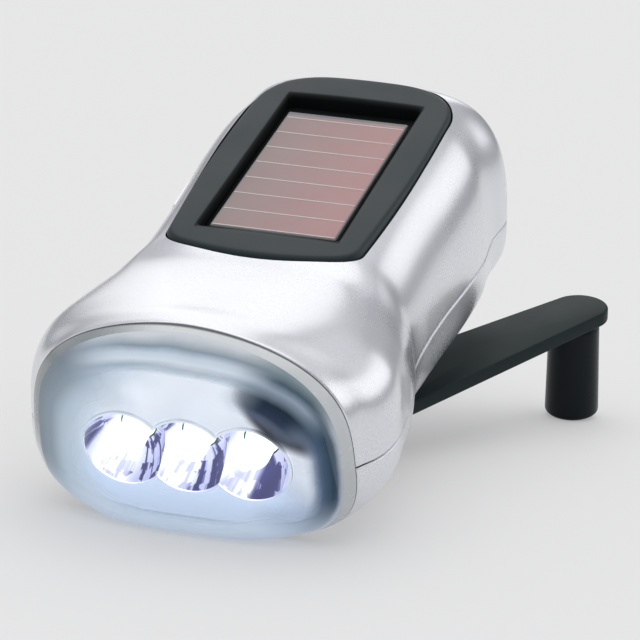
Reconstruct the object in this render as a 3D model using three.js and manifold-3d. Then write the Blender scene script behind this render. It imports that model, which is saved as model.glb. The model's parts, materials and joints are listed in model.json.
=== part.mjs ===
// Hand cranked flashlight with a solar panel, three lamps and a fold out crank.
// Millimetres. The body frame has X to the right, Y to the tail, Z up and z = 0 on the seam.

import * as THREE from 'three';
import { mergeVertices } from 'three/addons/utils/BufferGeometryUtils.js';
import Module from 'manifold-3d';

const wasm = await Module();
wasm.setup();

const DEG = Math.PI / 180;
const TURN = 2 * Math.PI;

// Clearances
const GAP = 0.3;
const RUN = 0.15;
const OVERRUN = 40;
const SIDE_OVERRUN = 80;
const MERGE = 0.00001;
const TILT = 12.7 * DEG;

// Facets round a circle, and steps of the smaller curves
const SIDES = { wide: 28, large: 24, medium: 20, small: 16, fine: 12 };
const STEPS = { rim: 12, dome: 5, outline: 6, arc: 10, corner: 5, smallCorner: 3 };

// Housing
const BODY = {
  length: 112,
  headHalfWidth: 31,
  shoulderHeight: 24.4,
  headDepth: 12.2,
  baseDepth: 11.2,
  wall: 2,
  tailRound: 24.7,
  rimLean: -9.5 * DEG,
};

// Plan outline: share of the body length, then share of the head's half width
const WIDTH_SHARES = [
  [-0.14, 0.83], [-0.05, 0.86], [0, 0.882], [0.035, 0.95], [0.065, 0.985], [0.11, 1],
  [0.17, 0.976], [0.23, 0.951], [0.29, 0.904], [0.35, 0.85], [0.45, 0.83], [0.55, 0.834],
  [0.65, 0.851], [0.75, 0.854], [0.85, 0.825], [1, 0.92],
];

// Roof profile: share of the body length, then share of the shoulder height
const ROOF_SHARES = [
  [-0.14, 0.965], [0, 0.957], [0.06, 0.907], [0.16, 0.841], [0.25, 0.81], [0.32, 0.872], [0.45, 0.962],
  [0.65, 1.062], [0.85, 1.088], [1, 0.96],
];

// Belly profile: share of the body length, then share of the head's depth
const BELLY_SHARES = [
  [-0.14, 1.23], [0, 1.2], [0.06, 1.18], [0.12, 1.08], [0.17, 0.985], [0.24, 0.96], [0.4, 0.98], [1, 0.945],
];

// Powers of the section's curve: share of the body length, then sides, roof, low sides and belly
const POWER_SHARES = [
  [-0.14, 1.88, 2.8, 4.6, 2.65], [0.03, 1.87, 3.25, 4.26, 2.4], [0.13, 2.3, 3.54, 3.52, 3.07],
  [0.3, 4.3, 1.85, 3.43, 3.4], [0.5, 4.45, 2, 4.8, 5.1], [1, 4.07, 2.88, 3.8, 3.65],
];
const TAIL_POWER = 5;
const TAIL_ROOT = 3;

// Solar panel, its rear edges measured from the tail
const PANEL = {
  tilt: 4.4 * DEG,
  height: 18.4,
  frontY: 34.3,
  rearFromTail: 9.8,
  frontHalfWidth: 17.2,
  rearHalfWidth: 18.35,
  frontRadius: 5.2,
  rearRadius: 12.5,
  sideBow: 1.55,
  frontBow: 3.5,
  rearBow: 0.2,
  thickness: 5.4,
  chamfer: 1,
  crown: 0.5,
  windowFrontY: 40.8,
  windowFromTail: 19,
  windowHalfWidth: 12.4,
  windowRadius: 1.2,
  recess: 1.6,
};
// Rings of the bezel's top: share of the chamfer drawn in, then share of it below the top
const PANEL_EDGE_SHARES = [[0, 1], [0.3, 0.4], [1, 0]];
const CELL = { frontMargin: 2.7, rearMargin: 4.1, sideMargin: 1.2, thickness: 0.9 };

// Lens, reflector and lamps
const LENS = { depth: 9.1, rise: -4.2 * DEG, wall: 1.6, points: 32 };
// Lens: share of its depth, then shares of the rim's width and height
const LENS_SHARES = [
  [0, 1, 1], [0.12, 0.97, 0.99], [0.3, 0.91, 0.97], [0.55, 0.8, 0.93], [0.78, 0.65, 0.87],
  [0.93, 0.47, 0.79], [1, 0.27, 0.68],
];
const REFLECTOR = {
  setback: 4.5,
  rimGap: 1,
  rimBack: 0.6,
  rimFront: 0.1,
  cupMouth: 6.8,
  cupThroat: 3.1,
  cupDepth: 7,
  cupWall: 0.8,
};
// Raised face of the reflector, as shares of the rim
const FACE_SHARES = { across: 0.785, above: 0.735, below: 0.8 };
const LAMP = { count: 3, pitch: 10.4, lift: 0.6, radius: 2.5, flange: 2.8, flangeHeight: 1, height: 7.6 };
const LED_BOARD = { endMargin: 6.3, height: 11, thickness: 1.6 };

// Crank, its folded knob measured from the tail
const CRANK = {
  y: 37.3,
  angle: 59.4 * DEG,
  knobFromTail: 18,
  knobInset: 1.3,
  drop: 4.6,
  thickness: 2.6,
  rootHalfWidth: 9.4,
  endRadius: 5.3,
  pinOut: 10,
  pinRadius: 1.1,
  knuckle: 2.4,
  coreHalfWidth: 4.5,
  coreBack: 5.5,
  slotLength: 17.9,
  shaftRadius: 2.5,
  pivotRadius: 1.5,
  bushWall: 1.5,
  screwHead: 2.4,
  screwRadius: 1,
  screwLength: 6.9,
  screwHole: 4.8,
  hubGap: 0.6,
};
const KNOB = {
  length: 18.2,
  topRadius: 4.7,
  footRadius: 5,
  rim: 0.8,
  rimShare: 0.3,
  bore: 1.7,
  headRadius: 2.8,
  headRecess: 2,
  cover: 0.8,
};
// Pocket at the tail that takes the knob of the folded crank
const POCKET = { room: 1.1, swing: 3 };

// Gear train
const GEAR = {
  module: 0.7,
  wheelTeeth: 30,
  pinionTeeth: 12,
  pressure: 25 * DEG,
  face: 2.2,
  layerGap: 0.5,
  floorGap: 1,
  firstX: -9,
  secondX: 4.5,
  rotorFromSide: 20,
  axleRadius: 1.1,
  bossRadius: 2.2,
  coreShare: 0.375,
};
// Tooth sizes as shares of the module
const TOOTH_SHARES = { addendum: 0.8, dedendum: 1.06, backlash: 0.2 };
const GENERATOR = {
  sideRoom: 2.8,
  height: 9,
  wall: 1,
  coilRoom: 2.6,
  magnetGap: 0.6,
  shaftRadius: 1,
  plateHole: 2,
};
const PLATE = { thickness: 1.2, sideMargin: 6, endMargin: 5, radius: 4 };

// Button cells in a row across the head, and the circuit board
const BATTERY = { radius: 5.8, length: 5.4, y: 16, z: -2.6, step: 1, saddleDepth: 3, saddleHalfLength: 5 };
const BATTERY_COUNT = 3;
const BOARD = { halfWidth: 13, length: 18, fromTail: 24, thickness: 1.4, radius: 1.5 };

// Screws and posts
const SCREW = { head: 2.1, headHeight: 1.4, shank: 0.9, length: 12, post: 3, hole: 1.15, tip: 2 };
const SCREW_FRONT = { x: 15.5, y: 26 };
const SCREW_REAR = { x: 17.6, fromTail: 13 };

// Switch rail on the left flank, measured from the tail
const RAIL = { frontFromTail: 50, rearFromTail: 8.5, lowZ: 5.5, highZ: 14, proud: 0.7 };
const SLIDER = { length: 9, proud: 1, margin: 1, travel: 5, play: 1.2, fromRailFront: 9 };
const RIDGE = { count: 4, width: 1, pitch: 2, depth: 0.5 };

// Colours
const FINISH = {
  silver: [0xc9ccd3, 0.32, 0.75],
  slate: [0x33403f, 0.42, 0.05],
  clear: [0xc2d3e4, 0.08, 0],
  mirror: [0x39415a, 0.15, 0.85],
  lamp: [0xeef0ff, 0.1, 0],
  cell: [0xa08080, 0.35, 0.1],
  steel: [0x9da1a6, 0.35, 0.9],
  brass: [0xb08d4a, 0.35, 0.9],
  white: [0xe4e2da, 0.5, 0],
  board: [0x2f6b3e, 0.6, 0],
};

function material(name) {
  const [color, roughness, metalness] = FINISH[name];
  return new THREE.MeshStandardMaterial({ color, roughness, metalness });
}

// Closed mesh to solid and back
function toSolid(geometry) {
  const bare = geometry.clone();
  for (const key of Object.keys(bare.attributes)) {
    if (key !== 'position') bare.deleteAttribute(key);
  }
  const merged = mergeVertices(bare, MERGE);
  const mesh = new wasm.Mesh({
    numProp: 3,
    vertProperties: new Float32Array(merged.attributes.position.array),
    triVerts: new Uint32Array(merged.index.array),
  });
  return new wasm.Manifold(mesh);
}

function toGeometry(solid) {
  const mesh = solid.getMesh();
  const geometry = new THREE.BufferGeometry();
  const points = new Float32Array(mesh.vertProperties);
  geometry.setAttribute('position', new THREE.BufferAttribute(points, 3));
  geometry.setIndex(Array.from(mesh.triVerts));
  return geometry;
}

function sub(name, geometry, finish) {
  const shown = geometry.isBufferGeometry ? geometry : toGeometry(geometry);
  const flat = shown.index ? shown.toNonIndexed() : shown;
  flat.computeVertexNormals();
  const mesh = new THREE.Mesh(flat, material(finish));
  mesh.name = name;
  return mesh;
}

// Simple solids
function box(x0, x1, y0, y1, z0, z1) {
  const geometry = new THREE.BoxGeometry(x1 - x0, y1 - y0, z1 - z0);
  geometry.translate((x0 + x1) / 2, (y0 + y1) / 2, (z0 + z1) / 2);
  return toSolid(geometry);
}

function rod(radius, z0, z1, x = 0, y = 0, sides = SIDES.medium) {
  return turned([[0, z0], [radius, z0], [radius, z1], [0, z1]], sides, x, y);
}

// Profile of radius and height pairs, from the axis round to the axis, turned about Z
function turned(profile, sides = SIDES.large, x = 0, y = 0) {
  const points = profile.map(([r, z]) => new THREE.Vector2(r, z));
  const geometry = new THREE.LatheGeometry(points, sides);
  geometry.rotateX(Math.PI / 2);
  geometry.translate(x, y, 0);
  return outward(geometry);
}

function outward(geometry) {
  const solid = toSolid(geometry);
  if (solid.volume() > 0) return solid;
  const flipped = geometry.clone();
  const index = Array.from(flipped.index.array);
  for (let i = 0; i < index.length; i += 3) [index[i], index[i + 1]] = [index[i + 1], index[i]];
  flipped.setIndex(index);
  return toSolid(flipped);
}

function prism(shape, z0, z1, curveSegments = STEPS.corner) {
  const geometry = new THREE.ExtrudeGeometry(shape, { depth: z1 - z0, bevelEnabled: false, curveSegments });
  geometry.translate(0, 0, z0);
  return toSolid(geometry);
}

// Rings of equal length, joined into a closed skin with a fan at each end
function loft(rings) {
  const points = [];
  const index = [];
  const count = rings[0].length;
  for (const ring of rings) for (const p of ring) points.push(p.x, p.y, p.z);
  for (let r = 0; r + 1 < rings.length; r++) {
    for (let i = 0; i < count; i++) {
      const j = (i + 1) % count;
      const a = r * count + i;
      const b = r * count + j;
      const c = (r + 1) * count + i;
      const d = (r + 1) * count + j;
      index.push(a, b, d, a, d, c);
    }
  }
  for (const [ring, flip] of [[0, true], [rings.length - 1, false]]) {
    const centre = rings[ring].reduce((sum, p) => sum.add(p), new THREE.Vector3()).divideScalar(count);
    const middle = points.length / 3;
    points.push(centre.x, centre.y, centre.z);
    for (let i = 0; i < count; i++) {
      const a = ring * count + i;
      const b = ring * count + ((i + 1) % count);
      if (flip) index.push(b, a, middle);
      else index.push(a, b, middle);
    }
  }
  const geometry = new THREE.BufferGeometry();
  geometry.setAttribute('position', new THREE.BufferAttribute(new Float32Array(points), 3));
  geometry.setIndex(index);
  return outward(geometry);
}

// Smooth curve through a table of shares
function curve(table, share) {
  const last = table.length - 1;
  if (share <= table[0][0]) return table[0][1];
  if (share >= table[last][0]) return table[last][1];
  const i = table.findIndex(([at]) => at > share) - 1;
  const [x1, y1] = table[i];
  const [x2, y2] = table[i + 1];
  const [x0, y0] = table[Math.max(i - 1, 0)];
  const [x3, y3] = table[Math.min(i + 2, last)];
  const t = (share - x1) / (x2 - x1);
  const m1 = ((y2 - y0) / (x2 - x0)) * (x2 - x1);
  const m2 = ((y3 - y1) / (x3 - x1)) * (x2 - x1);
  const h1 = (1 + 2 * t) * (1 - t) * (1 - t);
  const h2 = t * (1 - t) * (1 - t);
  const h3 = t * t * (3 - 2 * t);
  const h4 = t * t * (t - 1);
  return h1 * y1 + h2 * m1 + h3 * y2 + h4 * m2;
}

// Rounding of the tail, as a factor on the section
function tailFactor(y, grow) {
  const start = BODY.length - BODY.tailRound;
  const t = Math.min(Math.max((y - start) / (BODY.tailRound + grow), 0), 1);
  return Math.pow(Math.max(1 - Math.pow(t, TAIL_POWER), 0), 1 / TAIL_ROOT);
}

// One point of the body's skin at y, turned by an angle about the long axis, grown by an offset
function skinPoint(y, angle, grow = 0) {
  const share = y / BODY.length;
  const tail = tailFactor(y, grow);
  const width = (curve(WIDTH_SHARES, share) * BODY.headHalfWidth + grow) * tail;
  const roof = (curve(ROOF_SHARES, share) * BODY.shoulderHeight + grow) * tail;
  const belly = (curve(BELLY_SHARES, share) * BODY.headDepth + grow) * tail;
  const c = Math.cos(angle);
  const s = Math.sin(angle);
  const power = (column) => curve(POWER_SHARES.map((row) => [row[0], row[column]]), share);
  const side = s >= 0 ? power(1) : power(3);
  const x = width * Math.sign(c) * Math.pow(Math.abs(c), 2 / side);
  const z = s >= 0 ? roof * Math.pow(s, 2 / power(2)) : -belly * Math.pow(-s, 2 / power(4));
  return new THREE.Vector3(x, y, z);
}

const FINE = { points: 32, straight: 15, round: 8 };
const COARSE = { points: 24, straight: 11, round: 5 };
const TAIL_END_SHARE = 0.985;

function angles(count) {
  return Array.from({ length: count }, (_, i) => (i / count) * TURN);
}

// Stations along the body, closer together where the skin turns
function stations(grow, { straight, round }) {
  const front = WIDTH_SHARES[0][0] * BODY.length;
  const start = BODY.length - BODY.tailRound;
  const list = [];
  for (let i = 0; i < straight; i++) list.push(front + ((start - front) * i) / straight);
  for (let i = 0; i <= round; i++) {
    const t = Math.sin((i / round) * (Math.PI / 2) * TAIL_END_SHARE);
    list.push(start + (BODY.tailRound + grow) * t);
  }
  return list;
}

function skin(grow, detail = FINE) {
  return loft(stations(grow, detail).map((y) => angles(detail.points).map((a) => skinPoint(y, a, grow))));
}

// Frame of the leaning rim: local Z points forward out of the lens, local Y up along the rim
const RIM_TURN = Math.PI / 2 - BODY.rimLean;

function inRim(solid) {
  return solid.rotate([RIM_TURN / DEG, 0, 0]);
}

// Rim outline: where the leaning plane cuts the skin
function rimPoint(angle, grow = 0) {
  let point = skinPoint(0, angle, grow);
  for (let i = 0; i < STEPS.rim; i++) {
    point = skinPoint(point.z * Math.tan(BODY.rimLean), angle, grow);
  }
  return point;
}

// Panel frame: a plane tilted up to the tail, with local z = 0 on the frame's top
function inPanel(solid) {
  return solid.translate([0, 0, PANEL.height]).rotate([PANEL.tilt / DEG, 0, 0]);
}

const panelRearY = BODY.length - PANEL.rearFromTail;
const windowRearY = BODY.length - PANEL.windowFromTail;

// Where the line from a through b meets the line from d through c
function meeting([ax, ay], [bx, by], [cx, cy], [dx, dy]) {
  const [ux, uy, vx, vy] = [bx - ax, by - ay, cx - dx, cy - dy];
  const t = ((cx - bx) * vy - (cy - by) * vx) / (ux * vy - uy * vx);
  return [bx + ux * t, by + uy * t];
}

// Bezel outline: bowed sides, with each corner's control where its sides' tangents meet
function panelOutline(grow) {
  const shape = new THREE.Shape();
  const a = PANEL.frontHalfWidth + grow;
  const b = PANEL.rearHalfWidth + grow;
  const front = PANEL.frontY - grow;
  const rear = panelRearY + grow;
  const f = PANEL.frontRadius + grow;
  const r = PANEL.rearRadius + grow;
  const nose = [0, front - PANEL.frontBow];
  const side = [(a + b) / 2 + PANEL.sideBow, (front + rear) / 2];
  const back = [0, rear + PANEL.rearBow];
  const [p1, p2, p3, p4] = [[a - f, front], [a, front + f], [b, rear - r], [b - r, rear]];
  const c1 = meeting(nose, p1, p2, side);
  const c2 = meeting(side, p3, p4, back);
  const left = ([x, y]) => [-x, y];
  shape.moveTo(...left(p1));
  shape.quadraticCurveTo(...nose, ...p1);
  shape.quadraticCurveTo(...c1, ...p2);
  shape.quadraticCurveTo(...side, ...p3);
  shape.quadraticCurveTo(...c2, ...p4);
  shape.quadraticCurveTo(...back, ...left(p4));
  shape.quadraticCurveTo(...left(c2), ...left(p3));
  shape.quadraticCurveTo(...left(side), ...left(p2));
  shape.quadraticCurveTo(...left(c1), ...left(p1));
  return shape;
}

function roundedRectangle(x0, x1, y0, y1, r) {
  const shape = new THREE.Shape();
  shape.moveTo(x0 + r, y0);
  shape.lineTo(x1 - r, y0);
  shape.quadraticCurveTo(x1, y0, x1, y0 + r);
  shape.lineTo(x1, y1 - r);
  shape.quadraticCurveTo(x1, y1, x1 - r, y1);
  shape.lineTo(x0 + r, y1);
  shape.quadraticCurveTo(x0, y1, x0, y1 - r);
  shape.lineTo(x0, y0 + r);
  shape.quadraticCurveTo(x0, y0, x0 + r, y0);
  return shape;
}

// The folded knob's place at the tail gives the arm its reach
const KNOB_Y = BODY.length - CRANK.knobFromTail;
const KNOB_REACH = KNOB_Y - CRANK.y + 2 * CRANK.pinOut;
const ARM_REACH = KNOB_REACH + CRANK.knobInset;
const pocketTopZ = -BODY.baseDepth - CRANK.drop + GAP + KNOB.length + POCKET.room;

function pocketBlock(grow) {
  const half = KNOB.footRadius + POCKET.room;
  const outline = roundedRectangle(-half - grow, half + grow, KNOB_Y - half - grow,
    KNOB_Y + half + POCKET.swing + grow, half);
  return prism(outline, -BODY.baseDepth - OVERRUN, pocketTopZ + grow);
}

// Screw places
const SCREWS = [
  [-SCREW_FRONT.x, SCREW_FRONT.y],
  [SCREW_FRONT.x, SCREW_FRONT.y],
  [-SCREW_REAR.x, BODY.length - SCREW_REAR.fromTail],
  [SCREW_REAR.x, BODY.length - SCREW_REAR.fromTail],
];

const floorZ = -BODY.baseDepth + BODY.wall;
const BASE_START = CRANK.y - CRANK.rootHalfWidth;

// Both shells are cut from one hollow skin
function hollow() {
  const outer = skin(0);
  const inner = skin(-BODY.wall, COARSE);
  const ahead = inRim(box(-OVERRUN, OVERRUN, -OVERRUN, OVERRUN, -GAP, OVERRUN));
  const below = box(-OVERRUN, OVERRUN, BASE_START, BODY.length + OVERRUN,
    -BODY.headDepth - OVERRUN, -BODY.baseDepth);
  const floor = box(-OVERRUN, OVERRUN, BASE_START, BODY.length, -BODY.baseDepth - OVERRUN, floorZ);
  return outer.subtract(inner.subtract(floor)).subtract(ahead).subtract(below);
}

const HOLLOW = hollow();

function half(up) {
  const z0 = up ? GAP / 2 : -OVERRUN;
  const z1 = up ? OVERRUN : -GAP / 2;
  return HOLLOW.intersect(box(-OVERRUN, OVERRUN, -OVERRUN, BODY.length + OVERRUN, z0, z1));
}

function upperShell() {
  let shell = half(true);
  const inner = skin(-BODY.wall / 2, COARSE);
  for (const [x, y] of SCREWS) {
    const post = rod(SCREW.post, GAP / 2, BODY.shoulderHeight, x, y, SIDES.small).intersect(inner);
    shell = shell.add(post);
  }
  shell = shell.subtract(inPanel(prism(panelOutline(GAP), -PANEL.thickness - PANEL.crown - GAP, OVERRUN)));
  for (const [x, y] of SCREWS) {
    const holeTop = -BODY.baseDepth + SCREW.length + SCREW.tip;
    shell = shell.subtract(rod(SCREW.hole, -GAP, holeTop, x, y, SIDES.fine));
  }
  return sub('upper_shell', shell, 'silver');
}

const GEARS = gearPlaces();

function lowerShell() {
  let shell = half(false);
  const bush = CRANK.shaftRadius + CRANK.bushWall;
  const above = box(-OVERRUN, OVERRUN, 0, BODY.length, floorZ - BODY.wall / 2, OVERRUN);
  shell = shell.add(pocketBlock(BODY.wall).intersect(above).intersect(skin(-GAP)));
  shell = shell.add(batterySaddle().intersect(skin(-GAP)));
  shell = shell.subtract(pocketBlock(0));
  for (const [x, y] of SCREWS) {
    shell = shell.add(rod(SCREW.post, floorZ - BODY.wall / 2, -GAP / 2, x, y, SIDES.small));
  }
  for (const axle of [GEARS.first, GEARS.second]) {
    const low = floorZ - BODY.wall / 2;
    const boss = rod(GEAR.bossRadius, low, GEARS.layerA - GAP, axle.x, axle.y, SIDES.small);
    shell = shell.add(boss);
  }
  for (const [x, y] of SCREWS) {
    const low = -BODY.baseDepth;
    const headTop = low + SCREW.headHeight + GAP;
    shell = shell.subtract(rod(SCREW.hole, low - GAP, GAP, x, y, SIDES.fine));
    shell = shell.subtract(rod(SCREW.head + GAP, low - GAP, headTop, x, y, SIDES.small));
  }
  for (const axle of [GEARS.first, GEARS.second]) {
    shell = shell.subtract(rod(GEAR.axleRadius + GAP, floorZ, GEARS.layerA, axle.x, axle.y, SIDES.fine));
  }
  shell = shell.subtract(rod(bush + GAP, -BODY.headDepth - GAP, floorZ + GAP, 0, CRANK.y));
  return sub('lower_shell', shell, 'silver');
}

// Bezel with a tray for the cell
function solarFrame() {
  const { chamfer, thickness, crown, rearHalfWidth } = PANEL;
  const edge = PANEL_EDGE_SHARES.map(([inward, below]) => [-inward * chamfer, -below * chamfer]);
  const rings = [[0, -thickness], ...edge].map(([grow, z]) => {
    const outline = panelOutline(grow).getPoints(STEPS.outline).slice(0, -1);
    return outline.map((p) => new THREE.Vector3(p.x, p.y, z - crown * (p.x / rearHalfWidth) ** 2));
  });
  const { windowHalfWidth: w, windowFrontY, windowRadius, recess } = PANEL;
  const tray = prism(roundedRectangle(-w, w, windowFrontY, windowRearY, windowRadius),
    -recess - CELL.thickness - GAP, OVERRUN, STEPS.smallCorner);
  return sub('solar_frame', inPanel(loft(rings).subtract(tray)), 'slate');
}

function solarCell() {
  const top = -PANEL.recess;
  const half = PANEL.windowHalfWidth - CELL.sideMargin;
  const y0 = PANEL.windowFrontY + CELL.frontMargin;
  const cell = box(-half, half, y0, windowRearY - CELL.rearMargin, top - CELL.thickness, top);
  return sub('solar_cell', inPanel(cell), 'cell');
}

// Rings of the lens: the rim outline drawn in as it comes forward
function lensRings(shrink, depth, start) {
  const forward = new THREE.Vector3(0, -Math.cos(LENS.rise), Math.sin(LENS.rise));
  return LENS_SHARES.map(([along, across, up]) => angles(LENS.points).map((a) => {
    const rim = rimPoint(a, -shrink).multiply(new THREE.Vector3(across, up, up));
    return rim.addScaledVector(forward, start + (depth - start) * along);
  }));
}

function lensCover() {
  const outer = loft(lensRings(0, LENS.depth, 0));
  const inner = loft(lensRings(LENS.wall, LENS.depth - LENS.wall, -GAP));
  return sub('lens_cover', outer.subtract(inner), 'clear');
}

// Reflector in the rim's own frame: a raised face with three cups, and a skirt that slopes back to the rim
const FACE_Z = LENS.depth - LENS.wall - REFLECTOR.setback;

function lampX(i) {
  return (i - (LAMP.count - 1) / 2) * LAMP.pitch;
}

function cup(mouth, throat, back, front, x) {
  return turned([[0, back], [throat, back], [mouth, front], [0, front]], SIDES.large, x, LAMP.lift);
}

// Ring of the reflector at a depth in the rim's frame, from a function of the rim's x and up
function reflectorRing(grow, depth, place) {
  return angles(LENS.points).map((a) => {
    const p = rimPoint(a, grow);
    const up = p.y * Math.sin(BODY.rimLean) + p.z * Math.cos(BODY.rimLean);
    return new THREE.Vector3(...place(p.x, up), depth);
  });
}

function reflector() {
  const { cupMouth, cupThroat, cupDepth, cupWall, rimGap, rimBack, rimFront } = REFLECTOR;
  const { across, above, below } = FACE_SHARES;
  const edge = (x, up) => [x, up];
  const raised = (x, up) => [x * across, up * (up > 0 ? above : below)];
  let solid = loft([
    reflectorRing(-BODY.wall - rimGap, -rimBack, edge),
    reflectorRing(-LENS.wall - 2 * GAP, rimFront, edge),
    reflectorRing(0, FACE_Z, raised),
  ]);
  for (let i = 0; i < LAMP.count; i++) {
    const [mouth, throat] = [cupMouth + cupWall, cupThroat + cupWall];
    solid = solid.add(cup(mouth, throat, FACE_Z - cupDepth, FACE_Z - GAP, lampX(i)));
  }
  for (let i = 0; i < LAMP.count; i++) {
    const cutBack = FACE_Z - cupDepth;
    solid = solid.subtract(cup(cupMouth, cupThroat, cutBack, FACE_Z, lampX(i)));
    const [x, y] = [lampX(i), LAMP.lift];
    solid = solid.subtract(rod(cupThroat, cutBack - OVERRUN, cutBack + GAP, x, y, SIDES.large));
    solid = solid.subtract(rod(cupMouth, FACE_Z - RUN, FACE_Z + OVERRUN, x, y, SIDES.large));
  }
  return sub('reflector', inRim(solid), 'mirror');
}

function lamp(i, name) {
  const base = FACE_Z - REFLECTOR.cupDepth - LAMP.flangeHeight;
  const dome = base + LAMP.height - LAMP.radius;
  const profile = [[0, base], [LAMP.flange, base], [LAMP.flange, base + LAMP.flangeHeight]];
  for (let k = 0; k <= STEPS.dome; k++) {
    const a = (k / STEPS.dome) * (Math.PI / 2);
    profile.push([LAMP.radius * Math.cos(a), dome + LAMP.radius * Math.sin(a)]);
  }
  return sub(name, inRim(turned(profile, SIDES.fine, lampX(i), LAMP.lift)), 'lamp');
}

function ledBoard() {
  const top = FACE_Z - REFLECTOR.cupDepth - LAMP.flangeHeight - GAP;
  const { endMargin, height, thickness } = LED_BOARD;
  const half = lampX(LAMP.count - 1) + endMargin;
  const board = box(-half, half, LAMP.lift - height / 2, LAMP.lift + height / 2, top - thickness, top);
  return sub('led_board', inRim(board), 'white');
}

// Involute gear outline: teeth from base circle flanks with a named backlash
function gearShape(teeth) {
  const pitch = (GEAR.module * teeth) / 2;
  const base = pitch * Math.cos(GEAR.pressure);
  const tip = pitch + TOOTH_SHARES.addendum * GEAR.module;
  const root = pitch - TOOTH_SHARES.dedendum * GEAR.module;
  const involute = (r) => {
    const roll = Math.sqrt(Math.max((r * r) / (base * base) - 1, 0));
    return roll - Math.atan(roll);
  };
  const halfAtPitch = Math.PI / (2 * teeth) - (TOOTH_SHARES.backlash * GEAR.module) / (2 * pitch);
  const halfAngle = (r) => halfAtPitch + involute(pitch) - involute(Math.max(r, base));
  const start = Math.max(base, root);
  const radii = root < base ? [root, start, tip] : [start, tip];
  const shape = new THREE.Shape();
  for (let tooth = 0; tooth < teeth; tooth++) {
    const centre = (tooth / teeth) * TURN;
    const rise = radii.map((r) => [r, centre - halfAngle(r)]);
    const fall = radii.map((r) => [r, centre + halfAngle(r)]).reverse();
    for (const [r, a] of [...rise, ...fall]) {
      const x = r * Math.cos(a);
      const y = r * Math.sin(a);
      if (tooth === 0 && r === radii[0] && a < centre) shape.moveTo(x, y);
      else shape.lineTo(x, y);
    }
  }
  shape.closePath();
  return shape;
}

// Places of the gear centres and the heights of their three layers
function gearPlaces() {
  const distance = (GEAR.module * (GEAR.wheelTeeth + GEAR.pinionTeeth)) / 2;
  const step = (from, x, sign) => {
    const dx = x - from.x;
    return { x, y: from.y + sign * Math.sqrt(distance * distance - dx * dx) };
  };
  const crank = { x: 0, y: CRANK.y };
  const first = step(crank, GEAR.firstX, 1);
  const second = step(first, GEAR.secondX, 1);
  const rotor = step(second, BODY.headHalfWidth - GEAR.rotorFromSide, -1);
  const layerA = floorZ + GEAR.floorGap;
  const pitch = GEAR.face + GEAR.layerGap;
  return { crank, first, second, rotor, layerA, layerB: layerA + pitch, layerC: layerA + 2 * pitch };
}

// Turns a follower so that a gap faces a tooth of the driver along their line of centres
function meshTurn(driver, driverTurn, driverTeeth, follower, teeth) {
  const line = Math.atan2(follower.y - driver.y, follower.x - driver.x);
  const driverPhase = ((line - driverTurn) / TURN) * driverTeeth;
  return line + Math.PI - ((0.5 - driverPhase) / teeth) * TURN;
}

function gear(teeth, turn, z, place) {
  const wheel = prism(gearShape(teeth), z, z + GEAR.face);
  return wheel.rotate([0, 0, turn / DEG]).translate([place.x, place.y, 0]);
}

const { wheelTeeth, pinionTeeth } = GEAR;
const FIRST_TURN = meshTurn(GEARS.crank, 0, wheelTeeth, GEARS.first, pinionTeeth);
const SECOND_TURN = meshTurn(GEARS.first, FIRST_TURN, wheelTeeth, GEARS.second, pinionTeeth);
const ROTOR_TURN = meshTurn(GEARS.second, SECOND_TURN, wheelTeeth, GEARS.rotor, pinionTeeth);
const plateZ = GEARS.layerC + GEAR.face + GEAR.layerGap;
const armTopZ = -BODY.baseDepth - CRANK.drop;
const armLowZ = armTopZ - CRANK.thickness;
const pinZ = (armTopZ + armLowZ) / 2;
const coreTopZ = pinZ + CRANK.knuckle + GAP;
const coreLowZ = pinZ - CRANK.knuckle;

function atCrank(solid) {
  return solid.rotate([0, 0, CRANK.angle / DEG]).translate([0, CRANK.y, 0]);
}

// A rod along the crank's local Y, for the hinge
function crossRod(radius, y0, y1, x, z, sides = SIDES.medium) {
  return rod(radius, y0, y1, 0, 0, sides).rotate([-90, 0, 0]).translate([x, 0, z]);
}

function crankHub() {
  const { coreHalfWidth: h, pinOut, coreBack, knuckle } = CRANK;
  let hub = box(-coreBack, pinOut, -h, h, coreLowZ, coreTopZ);
  hub = hub.add(crossRod(knuckle, -h, h, pinOut, pinZ));
  hub = hub.add(rod(h, coreLowZ, -BODY.baseDepth - CRANK.hubGap));
  hub = hub.subtract(crossRod(CRANK.pinRadius + RUN, -h - GAP, h + GAP, pinOut, pinZ));
  hub = hub.subtract(rod(CRANK.shaftRadius + RUN, coreLowZ + CRANK.knuckle, 0));
  hub = hub.subtract(rod(CRANK.screwRadius + RUN, coreLowZ - GAP, 0, 0, 0, SIDES.small));
  hub = hub.subtract(rod(CRANK.screwHead + RUN, coreLowZ - GAP, coreLowZ + SCREW.headHeight));
  return sub('crank_hub', atCrank(hub), 'slate');
}

function crankShaft() {
  const low = coreLowZ + CRANK.knuckle + GAP;
  const top = plateZ + PLATE.thickness + GAP;
  const holeTop = low + CRANK.screwHole;
  const r = CRANK.shaftRadius;
  const p = CRANK.pivotRadius;
  const shaft = turned([[0, low], [r, low], [r, plateZ - GAP], [p, plateZ - GAP], [p, top], [0, top]]);
  const hole = rod(CRANK.screwRadius + RUN, low - GAP, holeTop, 0, 0, SIDES.small);
  return sub('crank_shaft', atCrank(shaft.subtract(hole)), 'steel');
}

function crankScrew() {
  const low = coreLowZ + GAP / 2;
  const head = low + SCREW.headHeight - GAP;
  const top = coreLowZ + CRANK.screwLength;
  const { screwHead: h, screwRadius: r } = CRANK;
  const screw = turned([[0, low], [h, low], [h, head], [r, head], [r, top], [0, top]], SIDES.small);
  return sub('crank_screw', atCrank(screw), 'steel');
}

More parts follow.
